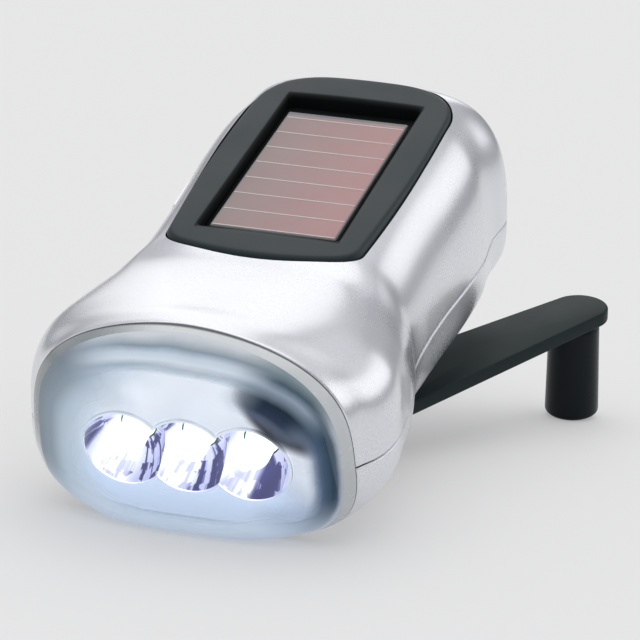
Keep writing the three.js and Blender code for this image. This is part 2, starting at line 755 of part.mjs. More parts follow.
function crankGear() {
  const z = GEARS.layerA;
  const wheel = gear(wheelTeeth, 0, z, GEARS.crank);
  const bore = rod(CRANK.shaftRadius + RUN, z - GAP, z + GEAR.face + GAP, 0, CRANK.y);
  return sub('crank_gear', wheel.subtract(bore), 'white');
}

// Tapered arm with a fork at its root
function crankArm() {
  const { rootHalfWidth: w, endRadius: e, pinOut, knuckle, coreHalfWidth } = CRANK;
  const reach = ARM_REACH;
  const slope = Math.asin((w - e) / (reach - pinOut));
  const shape = new THREE.Shape();
  shape.moveTo(pinOut, -w);
  shape.lineTo(reach + e * Math.sin(slope), -e * Math.cos(slope));
  shape.absarc(reach, 0, e, slope - Math.PI / 2, Math.PI / 2 - slope, false);
  shape.lineTo(pinOut, w);
  shape.closePath();
  const ears = crossRod(knuckle, -w, w, pinOut, pinZ);
  const slotEnd = pinOut + CRANK.slotLength;
  const half = coreHalfWidth + GAP;
  const slot = box(-OVERRUN, slotEnd, -half, half, armLowZ - OVERRUN, armTopZ + OVERRUN);
  let arm = prism(shape, armLowZ, armTopZ, STEPS.arc).add(ears).subtract(slot);
  arm = arm.subtract(crossRod(CRANK.pinRadius + RUN, -w - GAP, w + GAP, pinOut, pinZ));
  arm = arm.subtract(rod(KNOB.bore - GAP, armLowZ - GAP, armTopZ - KNOB.cover, KNOB_REACH, 0, SIDES.small));
  return sub('crank_arm', atCrank(arm), 'slate');
}

function hingePin() {
  const w = CRANK.rootHalfWidth - GAP;
  return sub('hinge_pin', atCrank(crossRod(CRANK.pinRadius, -w, w, CRANK.pinOut, pinZ)), 'steel');
}

// Knob on its pin
const knobTopZ = armLowZ - GAP;
const knobFootZ = knobTopZ - KNOB.length;

function knobGrip() {
  const { topRadius: t, footRadius: f, rim, bore, headRadius } = KNOB;
  const recess = knobFootZ + KNOB.headRecess;
  const step = rim * KNOB.rimShare;
  const hole = headRadius + GAP;
  const grip = turned([
    [bore, knobTopZ], [t - rim, knobTopZ], [t - step, knobTopZ - step], [t, knobTopZ - rim],
    [f, knobFootZ + rim], [f - step, knobFootZ + step], [f - rim, knobFootZ],
    [hole, knobFootZ], [hole, recess], [bore, recess], [bore, knobTopZ],
  ], SIDES.large, KNOB_REACH, 0);
  return sub('knob_grip', atCrank(grip), 'slate');
}

function knobPin() {
  const { bore, headRadius, rim, headRecess, cover } = KNOB;
  const head = knobFootZ + headRecess - GAP;
  const tip = armTopZ - cover - GAP;
  const low = knobFootZ + rim;
  const neck = bore - GAP - RUN;
  const shank = bore - RUN;
  const pin = turned([
    [0, low], [headRadius, low], [headRadius, head], [shank, head], [shank, knobTopZ], [neck, knobTopZ],
    [neck, tip], [0, tip],
  ], SIDES.medium, KNOB_REACH, 0);
  return sub('knob_pin', atCrank(pin), 'steel');
}

// Bush that carries the crank shaft in the floor
function shaftBush() {
  const inner = CRANK.shaftRadius + RUN;
  const outer = CRANK.shaftRadius + CRANK.bushWall;
  const z0 = -BODY.baseDepth;
  const profile = [[inner, z0], [outer, z0], [outer, floorZ], [inner, floorZ], [inner, z0]];
  const bush = turned(profile, SIDES.large, 0, CRANK.y);
  return sub('shaft_bush', bush, 'brass');
}

// Two compound gears and the rotor
function compoundGear(name, place, turn, z) {
  const wheelZ = z + GEAR.face + GEAR.layerGap;
  let solid = gear(pinionTeeth, turn, z, place);
  const core = GEAR.module * pinionTeeth * GEAR.coreShare;
  solid = solid.add(rod(core, z, wheelZ + GEAR.face / 2, place.x, place.y, SIDES.small));
  solid = solid.add(gear(wheelTeeth, turn, wheelZ, place));
  const bore = rod(GEAR.axleRadius + RUN, z - GAP, wheelZ + GEAR.face + GAP, place.x, place.y, SIDES.small);
  return sub(name, solid.subtract(bore), 'white');
}

function axle(name, place) {
  const low = floorZ + GAP;
  const pin = rod(GEAR.axleRadius, low, plateZ + PLATE.thickness, place.x, place.y, SIDES.small);
  return sub(name, pin, 'steel');
}

const generatorZ = plateZ + PLATE.thickness + GAP;

// The generator fills the room between the rotor's axis and the housing's side
function generatorRadius() {
  const inside = BODY.headHalfWidth * curve(WIDTH_SHARES, GEARS.rotor.y / BODY.length) - BODY.wall;
  return inside - GEARS.rotor.x - GENERATOR.sideRoom;
}

const GENERATOR_RADIUS = generatorRadius();
const MAGNET_RADIUS = GENERATOR_RADIUS - GENERATOR.coilRoom;

function rotor() {
  const { x, y } = GEARS.rotor;
  const pinion = gear(pinionTeeth, ROTOR_TURN, GEARS.layerC, GEARS.rotor);
  const magnetLow = generatorZ + GENERATOR.wall + GENERATOR.magnetGap;
  const magnetTop = generatorZ + GENERATOR.height - GENERATOR.wall - GENERATOR.magnetGap;
  const shaft = rod(GENERATOR.shaftRadius, GEARS.layerC, magnetTop + GENERATOR.wall, x, y, SIDES.small);
  const magnet = rod(MAGNET_RADIUS, magnetLow, magnetTop, x, y, SIDES.large);
  return sub('rotor', pinion.add(shaft).add(magnet), 'steel');
}

function generatorCase() {
  const { x, y } = GEARS.rotor;
  const { height, wall, shaftRadius } = GENERATOR;
  const top = generatorZ + height;
  const outer = rod(GENERATOR_RADIUS, generatorZ, top, x, y, SIDES.wide);
  const inner = rod(MAGNET_RADIUS + wall / 2, generatorZ + wall, top - wall, x, y, SIDES.wide);
  const bore = rod(shaftRadius + RUN, generatorZ - GAP, top + GAP, x, y, SIDES.small);
  return sub('generator_case', outer.subtract(inner).subtract(bore), 'steel');
}

function gearboxPlate() {
  const top = plateZ + PLATE.thickness;
  const { sideMargin, endMargin, radius } = PLATE;
  const outline = roundedRectangle(GEARS.first.x - sideMargin, GEARS.rotor.x + sideMargin,
    CRANK.y - endMargin, GEARS.second.y + endMargin, radius);
  let plate = prism(outline, plateZ, top);
  plate = plate.subtract(rod(CRANK.pivotRadius + RUN, plateZ - GAP, top + GAP, 0, CRANK.y));
  for (const { x, y } of [GEARS.first, GEARS.second]) {
    plate = plate.subtract(rod(GEAR.axleRadius + RUN, plateZ - GAP, top + GAP, x, y, SIDES.small));
  }
  const { x, y } = GEARS.rotor;
  plate = plate.subtract(rod(GENERATOR.plateHole, plateZ - GAP, top + GAP, x, y, SIDES.small));
  return sub('gearbox_plate', plate, 'steel');
}

// Cells lie on their sides across the head, in a saddle on the floor
const ACROSS = [0, 90, 0];

function batteryX(i) {
  return (i - (BATTERY_COUNT - 1) / 2) * (BATTERY.length + GAP);
}

function batteryCell(i) {
  const { radius, length, y, z, step } = BATTERY;
  const half = length / 2;
  const cell = turned([[0, -half], [radius - step, -half], [radius - step, GAP - half], [radius, GAP - half],
    [radius, half], [0, half]], SIDES.medium);
  return sub(`battery_cell_${i + 1}`, cell.rotate(ACROSS).translate([batteryX(i), y, z]), 'steel');
}

function batterySaddle() {
  const { radius, length, y, z, saddleDepth, saddleHalfLength } = BATTERY;
  const end = batteryX(BATTERY_COUNT - 1) + length / 2 + BODY.wall;
  const low = z - radius;
  const block = box(-end, end, y - saddleHalfLength, y + saddleHalfLength, low - OVERRUN, low + saddleDepth);
  const groove = rod(radius + GAP, GAP - end, end - GAP, 0, 0, SIDES.large).rotate(ACROSS);
  return block.subtract(groove.translate([0, y, z]));
}

function circuitBoard() {
  const { halfWidth, length, thickness, fromTail, radius } = BOARD;
  const y = BODY.length - fromTail;
  const z = pocketTopZ + BODY.wall + GAP;
  const outline = roundedRectangle(-halfWidth, halfWidth, y - length / 2, y + length / 2, radius);
  return sub('circuit_board', prism(outline, z, z + thickness, STEPS.smallCorner), 'board');
}

function shellScrew(i) {
  const [x, y] = SCREWS[i];
  const low = -BODY.baseDepth + GAP / 2;
  const head = low + SCREW.headHeight;
  const tip = low + SCREW.length;
  const { head: h, shank: s } = SCREW;
  const profile = [[0, low], [h, low], [h, head], [s, head], [s, tip], [0, tip]];
  const screw = turned(profile, SIDES.small, x, y);
  return sub(`shell_screw_${i + 1}`, screw, 'steel');
}

// Rail that lies on the left flank, and the slider in its slot
function flankStrip(low, high, y0, y1, z0, z1) {
  return skin(high).subtract(skin(low)).intersect(box(-SIDE_OVERRUN, 0, y0, y1, z0, z1));
}

const railFrontY = BODY.length - RAIL.frontFromTail;
const slotFrontY = railFrontY + SLIDER.fromRailFront;

function switchRail() {
  const { rearFromTail, lowZ, highZ, proud } = RAIL;
  const m = SLIDER.margin;
  const slotRearY = slotFrontY + SLIDER.length + SLIDER.travel + SLIDER.play;
  const slot = box(-SIDE_OVERRUN, 0, slotFrontY, slotRearY, lowZ + m, highZ - m);
  const strip = flankStrip(GAP, proud, railFrontY, BODY.length - rearFromTail, lowZ, highZ);
  return sub('switch_rail', strip.subtract(slot), 'silver');
}

function switchSlider() {
  const m = SLIDER.margin + GAP;
  const z0 = RAIL.lowZ + m;
  const z1 = RAIL.highZ - m;
  const y0 = slotFrontY + GAP;
  let slider = flankStrip(GAP + RUN, SLIDER.proud, y0, y0 + SLIDER.length, z0, z1);
  const first = y0 + (SLIDER.length - RIDGE.pitch * (RIDGE.count - 1)) / 2;
  for (let i = 0; i < RIDGE.count; i++) {
    const y = first + RIDGE.pitch * i - RIDGE.width / 2;
    const low = SLIDER.proud - RIDGE.depth;
    const notch = flankStrip(low, SLIDER.proud + GAP, y, y + RIDGE.width, z0 - GAP, z1 + GAP);
    slider = slider.subtract(notch);
  }
  return sub('switch_slider', slider, 'slate');
}

// Assembly
function assemble() {
  const body = new THREE.Group();
  body.add(upperShell(), lowerShell(), solarFrame(), solarCell(), lensCover(), reflector(), ledBoard());
  ['led_left', 'led_centre', 'led_right'].forEach((name, i) => body.add(lamp(i, name)));
  body.add(shaftBush(), gearboxPlate(), generatorCase(), circuitBoard());
  body.add(axle('idler_axle_1', GEARS.first), axle('idler_axle_2', GEARS.second));
  for (let i = 0; i < BATTERY_COUNT; i++) body.add(batteryCell(i));
  for (let i = 0; i < SCREWS.length; i++) body.add(shellScrew(i));
  body.add(switchRail(), switchSlider());
  body.add(crankHub(), crankShaft(), crankScrew(), crankGear());
  body.add(crankArm(), hingePin(), knobPin(), knobGrip());
  body.add(compoundGear('first_gear', GEARS.first, FIRST_TURN, GEARS.layerA));
  body.add(compoundGear('second_gear', GEARS.second, SECOND_TURN, GEARS.layerB));
  body.add(rotor());
  body.rotation.x = TILT;
  const object = new THREE.Group();
  object.add(body);
  object.updateMatrixWorld(true);
  const bounds = new THREE.Box3().setFromObject(object, true);
  const middle = bounds.getCenter(new THREE.Vector3());
  body.position.set(-middle.x, -middle.y, -bounds.min.z);
  return object;
}

export default assemble();
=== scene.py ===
import json
from math import asin, cos, hypot, pi, radians, sin, sqrt, tan

import bpy
import numpy as np
from mathutils import Matrix, Vector


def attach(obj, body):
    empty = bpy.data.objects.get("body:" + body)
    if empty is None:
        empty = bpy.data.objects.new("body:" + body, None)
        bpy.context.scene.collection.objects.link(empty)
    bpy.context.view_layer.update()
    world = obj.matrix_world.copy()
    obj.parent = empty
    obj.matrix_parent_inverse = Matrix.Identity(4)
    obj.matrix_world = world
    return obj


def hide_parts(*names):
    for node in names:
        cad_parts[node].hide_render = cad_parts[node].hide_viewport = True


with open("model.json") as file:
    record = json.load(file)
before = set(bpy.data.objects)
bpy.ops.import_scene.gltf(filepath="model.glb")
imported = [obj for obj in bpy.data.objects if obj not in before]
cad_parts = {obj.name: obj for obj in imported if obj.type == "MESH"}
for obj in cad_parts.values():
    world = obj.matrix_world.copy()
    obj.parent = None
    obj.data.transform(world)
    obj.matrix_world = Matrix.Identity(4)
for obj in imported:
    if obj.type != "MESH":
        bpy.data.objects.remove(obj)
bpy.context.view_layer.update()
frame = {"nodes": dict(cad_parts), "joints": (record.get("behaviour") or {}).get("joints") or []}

MM = 0.001
TURN = 2 * pi
HALF = pi / 2

# ---- Sizes, as the solids have them ----
# GAP lies between pieces that stand apart, RUN between moving ones, and FAR is past everything.
GAP = 0.3
RUN = 0.15
FAR = 90.0
TILT = radians(12.7)
LENGTH = 112.0
HEAD_HALF_WIDTH = 31.0
SHOULDER = 24.4
HEAD_DEPTH = 12.2
BASE_DEPTH = 11.2
WALL = 2.0
TAIL_ROUND = 24.7
TAIL_POWER = 5
TAIL_ROOT = 3
RIM_LEAN = radians(-9.5)
LEAN_START = 2.0
LEAN_FADE = 34.0
EDGE = 0.45
SEAM_EDGE = 0.32

# Share of the length, with the half width, roof or belly there as a share of the head's
WIDTHS = [
    (-0.14, 0.83), (-0.05, 0.86), (0, 0.882), (0.035, 0.95), (0.065, 0.985), (0.11, 1), (0.17, 0.976),
    (0.23, 0.951), (0.29, 0.904), (0.35, 0.85), (0.45, 0.83), (0.55, 0.834), (0.65, 0.851), (0.75, 0.854),
    (0.85, 0.825), (1, 0.92),
]
ROOF = [
    (-0.14, 0.965), (0, 0.957), (0.06, 0.907), (0.16, 0.841), (0.25, 0.81), (0.32, 0.872), (0.45, 0.962),
    (0.65, 1.062), (0.85, 1.088), (1, 0.96),
]
BELLY = [
    (-0.14, 1.23), (0, 1.2), (0.06, 1.18), (0.12, 1.08), (0.17, 0.985), (0.24, 0.96), (0.4, 0.98), (1, 0.945),
]
# Share of the length, with the powers of the section: sides, roof, low sides, belly
POWERS = [
    (-0.14, 1.88, 2.8, 4.6, 2.65), (0.03, 1.87, 3.25, 4.26, 2.4), (0.13, 2.3, 3.54, 3.52, 3.07),
    (0.3, 4.3, 1.85, 3.43, 3.4), (0.5, 4.45, 2, 4.8, 5.1), (1, 4.07, 2.88, 3.8, 3.65),
]

PANEL_TILT = radians(4.4)
PANEL_HEIGHT = 18.4
PANEL_DEPTH = 5.4
PANEL_CROWN = 0.5
PANEL = {
    "front": 34.3, "rear": LENGTH - 9.8, "front_half": 17.2, "rear_half": 18.35, "front_radius": 5.2,
    "rear_radius": 12.5, "side_bow": 1.55, "front_bow": 3.5, "rear_bow": 0.2,
}
WINDOW = {"front": 40.8, "rear": LENGTH - 19, "half": 12.4, "radius": 1.2}
WELL = {"half": WINDOW["half"] + 0.4, "front": WINDOW["front"] - 2.2, "rear": WINDOW["rear"] - 0.6}
RECESS = 1.6
CELL = {"front": 43.5, "rear": LENGTH - 23.1, "half": 11.2, "thickness": 0.9}

LENS_DEPTH = 9.1
LENS_RISE = radians(-4.2)
LENS_WALL = 1.6
LENS_FLANGE = 2.0
# Share of the depth, with the shares of the rim's width and height that are left there
LENS_SHARES = [
    (0, 1, 1), (0.12, 0.97, 0.99), (0.3, 0.91, 0.97), (0.55, 0.8, 0.93), (0.78, 0.65, 0.87),
    (0.93, 0.47, 0.79), (1, 0.27, 0.68), (1.025, 0.13, 0.4), (1.035, 0.03, 0.1),
]
FACE = LENS_DEPTH - LENS_WALL - 4.5
CUP = {"mouth": 6.8, "throat": 3.1, "depth": 7.0, "wall": 0.8}
BEAD = {"width": 0.55, "rise": 0.35}
SKIRT = {"back": -0.6, "back_inset": WALL + 1.0, "front": 0.1, "front_inset": LENS_WALL + 2 * GAP, "dark": 0.52}
FACE_SHARES = {"across": 0.785, "above": 0.735, "below": 0.8}
LAMP_PITCH = 10.4
LAMP_XS = (-LAMP_PITCH, 0, LAMP_PITCH)
LAMP_LIFT = 0.6
LAMP = {"radius": 2.5, "flange": 2.8, "flange_height": 1.0, "height": 7.6}
# A painted dark reflection on the reflector's face: its middle, its two directions and its sizes.
DARK_REFLECTION = {"place": (16.1, -4.6, 9.1), "ways": ((0.77, 0.11, -0.63), (0.63, -0.15, 0.76)), "sizes": (8.2, 4.1)}
LAMP_NODES = ("led_left", "led_centre", "led_right")

CRANK_Y = 37.3
CRANK_LEVEL = -10.0
HUB_HOLE = 4.0
CRANK_ANGLE = radians(59.4)
PIN_OUT = 10.0
ARM = {
    "root": 9.4, "end": 5.3, "reach": 78.0, "thickness": 2.6, "edge": 0.45, "slot_end": 27.9, "slot_half": 4.8,
    "pin": 1.1, "skin": 0.8,
}
ARM_TOP = -BASE_DEPTH - 4.6
ARM_LOW = ARM_TOP - ARM["thickness"]
PIN_Z = (ARM_TOP + ARM_LOW) / 2
KNUCKLE = 2.4
KNOB_REACH = 76.7
KNOB = {"length": 18.2, "top": 4.7, "foot": 5.0, "rim": 0.9, "bore": 1.7, "head_hole": 3.1, "recess": 2.0}
KNOB_TOP = ARM_LOW - GAP
KNOB_FOOT = KNOB_TOP - KNOB["length"]
KNOB_Y = LENGTH - 18

SCREWS = [(-15.5, 26.0), (15.5, 26.0), (-17.6, LENGTH - 13), (17.6, LENGTH - 13)]
SCREW = {"head": 2.1, "head_height": 1.4, "shank": 0.9, "length": 12.0, "hole": 1.15, "post": 3.0, "point": 1.0}
CROSS = (0.27, 1.25)
CROSS_DEPTH = 0.75
BASE_START = CRANK_Y - 9.4
FLOOR_Z = -BASE_DEPTH + WALL
POCKET = {"half": 6.1, "swing": 3.0, "top": ARM_TOP + GAP + KNOB["length"] + 1.1}

RAIL = {"front": LENGTH - 50, "rear": LENGTH - 8.5, "low": 5.5, "high": 14.0, "proud": 0.7}
RIDGE = {"count": 4, "width": 1.0, "pitch": 2.0, "depth": 0.5}
SLIDER = {"front": RAIL["front"] + 9, "length": 9.0, "proud": 1.0, "margin": 1.0, "travel": 5.0, "play": 1.2}


def link(name, data):
    obj = bpy.data.objects.new(name, data)
    bpy.context.scene.collection.objects.link(obj)
    return obj


# ---- The camera, found from the photograph ----
def housing_frame():
    """Millimetres of the housing's own frame to metres of the row frame."""
    joint = next(j for j in frame["joints"] if j["name"] == "crank_spin")
    turn = Matrix.Rotation(TILT, 4, "X")
    shift = Vector(joint["pos_m"]) - turn @ (Vector((0, CRANK_Y, CRANK_LEVEL)) * MM)
    return Matrix.Translation(shift) @ turn @ Matrix.Scale(MM, 4)


HOUSING = housing_frame()


def add_camera(azimuth=17.0, elevation=25.0, focal_px=3600.0, px_per_mm=6.2, shift_mm=20.403, image_px=640,
               sensor_mm=36):
    az, el = radians(azimuth), radians(elevation)
    right = Vector((cos(az), sin(az), 0))
    back = Vector((sin(az) * cos(el), -cos(az) * cos(el), sin(el)))
    up = back.cross(right)
    place = right * shift_mm + up * shift_mm + back * (focal_px / px_per_mm)
    turn = HOUSING.to_3x3().normalized()
    data = bpy.data.cameras.new("camera")
    data.sensor_width = sensor_mm
    data.lens = sensor_mm * focal_px / image_px
    data.clip_start, data.clip_end = 0.05, 20
    camera = link("camera", data)
    axes = turn @ Matrix((right, up, back)).transposed()
    camera.matrix_world = Matrix.Translation(HOUSING @ place) @ axes.to_4x4()
    bpy.context.scene.camera = camera


add_camera()


# ---- Curves and sections of the housing ----
def curve(table, column, share):
    """Smooth curve through one column of a table, as the solids have it."""
    rows = np.asarray(table, float)
    at, value = rows[:, 0], rows[:, column]
    count = len(at)
    low = np.maximum(np.arange(count) - 1, 0)
    high = np.minimum(np.arange(count) + 1, count - 1)
    slope = (value[high] - value[low]) / (at[high] - at[low])
    share = np.clip(share, at[0], at[-1])
    i = np.clip(np.searchsorted(at, share, side="right") - 1, 0, count - 2)
    span = at[i + 1] - at[i]
    t = (share - at[i]) / span
    return (
        (1 + 2 * t) * (1 - t) ** 2 * value[i] + t * (1 - t) ** 2 * span * slope[i]
        + t * t * (3 - 2 * t) * value[i + 1] + t * t * (t - 1) * span * slope[i + 1]
    )


def section(y, grow):
    """Half width, roof, belly and the four powers at y."""
    share, past = y / LENGTH, np.clip((y - (LENGTH - TAIL_ROUND)) / (TAIL_ROUND + grow), 0, 1)
    tail = np.maximum(1 - past**TAIL_POWER, 0) ** (1 / TAIL_ROOT)
    width = (curve(WIDTHS, 1, share) * HEAD_HALF_WIDTH + grow) * tail
    roof = (curve(ROOF, 1, share) * SHOULDER + grow) * tail
    belly = (curve(BELLY, 1, share) * HEAD_DEPTH + grow) * tail
    return width, roof, belly, [curve(POWERS, k, share) for k in (1, 2, 3, 4)]


def skin_point(y, angle, grow=0.0):
    """Points of the skin, grown by an offset; y, angle and grow are numbers or arrays."""
    y, angle, grow = np.broadcast_arrays(np.asarray(y, float), angle, grow)
    width, roof, belly, (sides, top, low_sides, low) = section(y, grow)
    c, s = (np.where(np.abs(v) < 1e-12, 0, v) for v in (np.cos(angle), np.sin(angle)))
    above = s >= 0
    x = width * np.sign(c) * np.abs(c) ** (2 / np.where(above, sides, low_sides))
    z = np.where(above, roof * np.abs(s) ** (2 / top), -belly * np.abs(s) ** (2 / low))
    return np.stack([x, y, z], -1)


def lean_point(station, angle, grow=0.0, rounds=10):
    """A ring that leans with the rim at the front and stands upright further back."""
    fade = np.clip((LEAN_FADE - station) / (LEAN_FADE - LEAN_START), 0, 1)
    lean = tan(RIM_LEAN) * fade * fade * (3 - 2 * fade)
    point = skin_point(station, angle, grow)
    for _ in range(rounds):
        point = skin_point(station + point[..., 2] * lean, angle, grow)
    return point


def even(count, power=2.2):
    """Shares from 0 to 1 that gather at both ends, where the section's curve runs fast."""
    t = np.linspace(0, 1, count)
    return t**power / (t**power + (1 - t) ** power)


def arc(steps):
    """Angles over a quarter turn."""
    return np.linspace(0, HALF, steps)


def rounded(radius, steps):
    """A rounded edge as (inset, drop) pairs, from the side to the top."""
    return [(radius * (1 - cos(t)), radius * (1 - sin(t))) for t in arc(steps)]


SEAM_LEVELS = (0.0, 0.12, 0.16, 0.2, 0.26, 0.34, 0.46, 0.7)


def ring_angles(station, grow, quarter=44, least_height=2.0, most_share=0.9):
    """Angles round one ring, with rows at set heights beside the seam."""
    _, roof, belly, (_, top, _, low) = section(np.asarray(station, float), np.asarray(grow, float))
    def first(height, power):
        share = np.clip(np.asarray(SEAM_LEVELS) / max(float(height), least_height), 0, most_share)
        start = np.arcsin(share ** (float(power) / 2))
        rest = start[-1] + (HALF - start[-1]) * even(quarter)[1:]
        return np.concatenate([start, rest])
    above, below = first(roof, top), first(belly, low)
    return np.concatenate([above, pi - above[-2::-1], pi + below[1:], TURN - below[-2:0:-1]])


def stations(front, grow, straight=86, tail=26, edge=()):
    start = LENGTH - TAIL_ROUND
    theta = HALF * even(tail + 1, 1.8)[:-1]
    end = start + (TAIL_ROUND + grow) * np.sin(theta) ** (2 / TAIL_POWER)
    body = np.linspace(front + (edge[-1] if len(edge) else 0), start, straight)
    return np.concatenate([front + np.asarray(edge[:-1], float), body, end[1:]])


def rounding(depth, radius):
    """How far a rounded edge draws in at a depth below the edge."""
    short = np.clip(1 - depth / radius, 0, 1)
    return radius * (1 - np.sqrt(1 - short * short))


def skin_rings(front, grow=0.0, edge=0.0, seam_edge=0.0, quarter=44, straight=86):
    """Rings of the housing's skin; edge rounds the rim and seam_edge pinches the seam."""
    steps = edge * (1 - np.cos(arc(6))) if edge else ()
    rings = []
    for station in stations(front, grow, straight, edge=steps):
        angles = ring_angles(station, grow, quarter)
        drawn = rounding(station - front, edge) if edge else 0.0
        ring = lean_point(station, angles, grow - drawn)
        if seam_edge:
            pinch = rounding(np.abs(ring[:, 2]) - GAP / 2, seam_edge)
            ring = lean_point(station, angles, grow - drawn - pinch)
        rings.append(ring)
    return np.array(rings)


def rim_point(angle, grow=0.0):
    return lean_point(np.zeros_like(angle), angle, grow)


def rim_plane(angle, grow=0.0):
    """The rim in its own leaning plane: across and up."""
    rim = rim_point(angle, grow)
    return rim[:, 0], rim[:, 1] * sin(RIM_LEAN) + rim[:, 2] * cos(RIM_LEAN)


# ---- Making meshes ----
def raw(name, points, faces):
    mesh = bpy.data.meshes.new(name)
    mesh.from_pydata(np.asarray(points, float).tolist(), [], faces)
    mesh.update()
    return link(name, mesh)


def volume(points, faces):
    """Six times the volume inside the faces, negative where they look inwards."""
    corners = ((points[f[0]], points[f[j]], points[f[j + 1]]) for f in faces for j in range(1, len(f) - 1))
    return sum(float(np.dot(a, np.cross(b, c))) for a, b, c in corners)


def loft(name, rings, tip=None, foot=None, ring=False):
    """Closed skin over rings of equal length: fans close the ends, or the last ring joins the first."""
    rings = np.asarray(rings, float)
    count, around = rings.shape[:2]
    points, faces = rings.reshape(-1, 3), []
    pairs = [(i, (i + 1) % around) for i in range(around)]
    for r in range(count if ring else count - 1):
        a, b = r * around, ((r + 1) % count) * around
        faces += [(a + i, a + j, b + j, b + i) for i, j in pairs]
    if not ring:
        foot = rings[0].mean(0) if foot is None else foot
        tip = rings[-1].mean(0) if tip is None else tip
        points = np.vstack([points, foot, tip])
        base, last = len(points) - 2, (count - 1) * around
        for i, j in pairs:
            faces += [(j, i, base), (last + i, last + j, base + 1)]
    if volume(points, faces) < 0:
        faces = [face[::-1] for face in faces]
    return raw(name, points, faces)


def flat_ring(outline, z):
    return np.column_stack([outline, np.full(len(outline), z)])


def turned(name, profile, x=0.0, y=0.0, sides=64):
    """Turns (radius, height) pairs about Z, from axis to axis, or as a ring where the last pair is the first."""
    around = np.linspace(0, TURN, sides, endpoint=False)
    ring = tuple(profile[0]) == tuple(profile[-1]) and profile[0][0] > 0
    rows = profile[:-1] if ring else [p for p in profile if p[0] > 0]
    rings = [flat_ring(np.stack([x + r * np.cos(around), y + r * np.sin(around)], -1), z) for r, z in rows]
    return loft(name, rings, ring=ring, foot=(x, y, profile[0][1]), tip=(x, y, profile[-1][1]))


def rod(radius, low, high, x=0.0, y=0.0, sides=48):
    return turned("rod", [(0, low), (radius, low), (radius, high), (0, high)], x, y, sides)


def prism(outline, low, high):
    return loft("prism", [flat_ring(outline, z) for z in (low, high)])


def block(low, high):
    (x0, y0, z0), (x1, y1, z1) = low, high
    return prism([(x0, y0), (x1, y0), (x1, y1), (x0, y1)], z0, z1)


def slab(low, high, y0=-FAR, y1=FAR):
    return block((-FAR, y0, low), (FAR, y1, high))


def moved(obj, matrix):
    obj.data.transform(matrix)
    return obj


def evaluated(obj):
    """The object's mesh with its modifiers applied, as a plain mesh."""
    graph = bpy.context.evaluated_depsgraph_get()
    mesh = bpy.data.meshes.new_from_object(obj.evaluated_get(graph), depsgraph=graph)
    obj.modifiers.clear()
    return mesh


def carve(base, tool, operation="DIFFERENCE"):
    """Cuts the tool from the base, joins it or keeps what both hold; the tool goes."""
    step = base.modifiers.new("step", "BOOLEAN")
    step.operation, step.solver, step.object = operation, "MANIFOLD", tool
    bpy.context.view_layer.update()
    base.data = evaluated(base)
    bpy.data.objects.remove(tool)
    return base


def join(base, tool):
    return carve(base, tool, "UNION")


def keep(base, tool):
    return carve(base, tool, "INTERSECT")


def finish(obj, name, material, nodes=(), sharp=32.0, body="housing"):
    """Places a piece in the row frame, shades it, attaches it to its body and hides the nodes that it stands in for.
    """
    obj.name = obj.data.name = name
    obj.data.transform(HOUSING)
    obj.data.shade_smooth()
    obj.data.set_sharp_from_angle(angle=radians(sharp))
    obj.data.materials.clear()
    for one in material if isinstance(material, tuple) else (material,):
        obj.data.materials.append(one)
    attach(obj, body)
    if nodes:
        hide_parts(*nodes)


# ---- Materials and node trees ----
def operator(name, swapped=False):
    def apply(self, other):
        return self.tree.maths(name, *((other, self) if swapped else (self, other)))
    return apply


class Term:
    """A number socket that can stand in a sum."""

    def __init__(self, tree, socket):
        self.tree, self.socket = tree, socket

    __add__ = __radd__ = operator("ADD")
    __mul__ = __rmul__ = operator("MULTIPLY")
    __sub__, __rsub__ = operator("SUBTRACT"), operator("SUBTRACT", swapped=True)
    __truediv__ = operator("DIVIDE")
    most, least = operator("MAXIMUM"), operator("MINIMUM")

    def __neg__(self):
        return self * -1.0


class Tree:
    """Builds one node tree, for a material, the world or Geometry Nodes."""

    def __init__(self, tree):
        self.tree = tree

    def node(self, kind, inputs=None, output=0, **settings):
        made = self.tree.nodes.new(kind)
        for key, value in settings.items():
            if key == "stops":
                ramp = made.color_ramp
                while len(ramp.elements) < len(value):
                    ramp.elements.new(0.5)
                for element, (at, *colour) in zip(ramp.elements, value):
                    element.position, element.color = at, (*colour, 1)
            else:
                setattr(made, key, value)
        for key, value in (inputs or {}).items():
            socket = made.inputs[key]
            if isinstance(value, Term):
                self.tree.links.new(value.socket, socket)
            elif isinstance(value, tuple) and len(value) == 3 and socket.type == "RGBA":
                socket.default_value = (*value, 1)
            else:
                socket.default_value = value
        return Term(self, made.outputs[output]) if made.outputs else None

    def maths(self, operation, first, second=0.0):
        return self.node("ShaderNodeMath", {0: first, 1: second}, operation=operation)

    def noise(self, coords, scale, detail):
        return self.node("ShaderNodeTexNoise", {"Vector": coords, "Scale": scale, "Detail": detail})

    def blend(self, factor, first, second):
        return self.node("ShaderNodeMix", {0: factor, 6: first, 7: second}, 2, data_type="RGBA")

    def ramp(self, factor, stops):
        """Colours by (place, red, green, blue) rows."""
        return self.node("ShaderNodeValToRGB", {0: factor}, stops=stops)

    def range(self, value, low, high, to_low=0.0, to_high=1.0, way="LINEAR"):
        inputs = {0: value, 1: low, 2: high, 3: to_low, 4: to_high}
        return self.node("ShaderNodeMapRange", inputs, interpolation_type=way)

    def rise(self, value, at, soft):
        """Smooth step from 0 to 1, centred on a value."""
        return self.range(value, at - soft / 2, at + soft / 2, way="SMOOTHSTEP")

    def between(self, value, low, low_soft, high, high_soft):
        return self.rise(value, low, low_soft) * (1.0 - self.rise(value, high, high_soft))

    def parts(self, vector, count=3):
        """X, Y and Z of a vector."""
        return [self.node("ShaderNodeSeparateXYZ", {0: vector}, output=k) for k in range(count)]


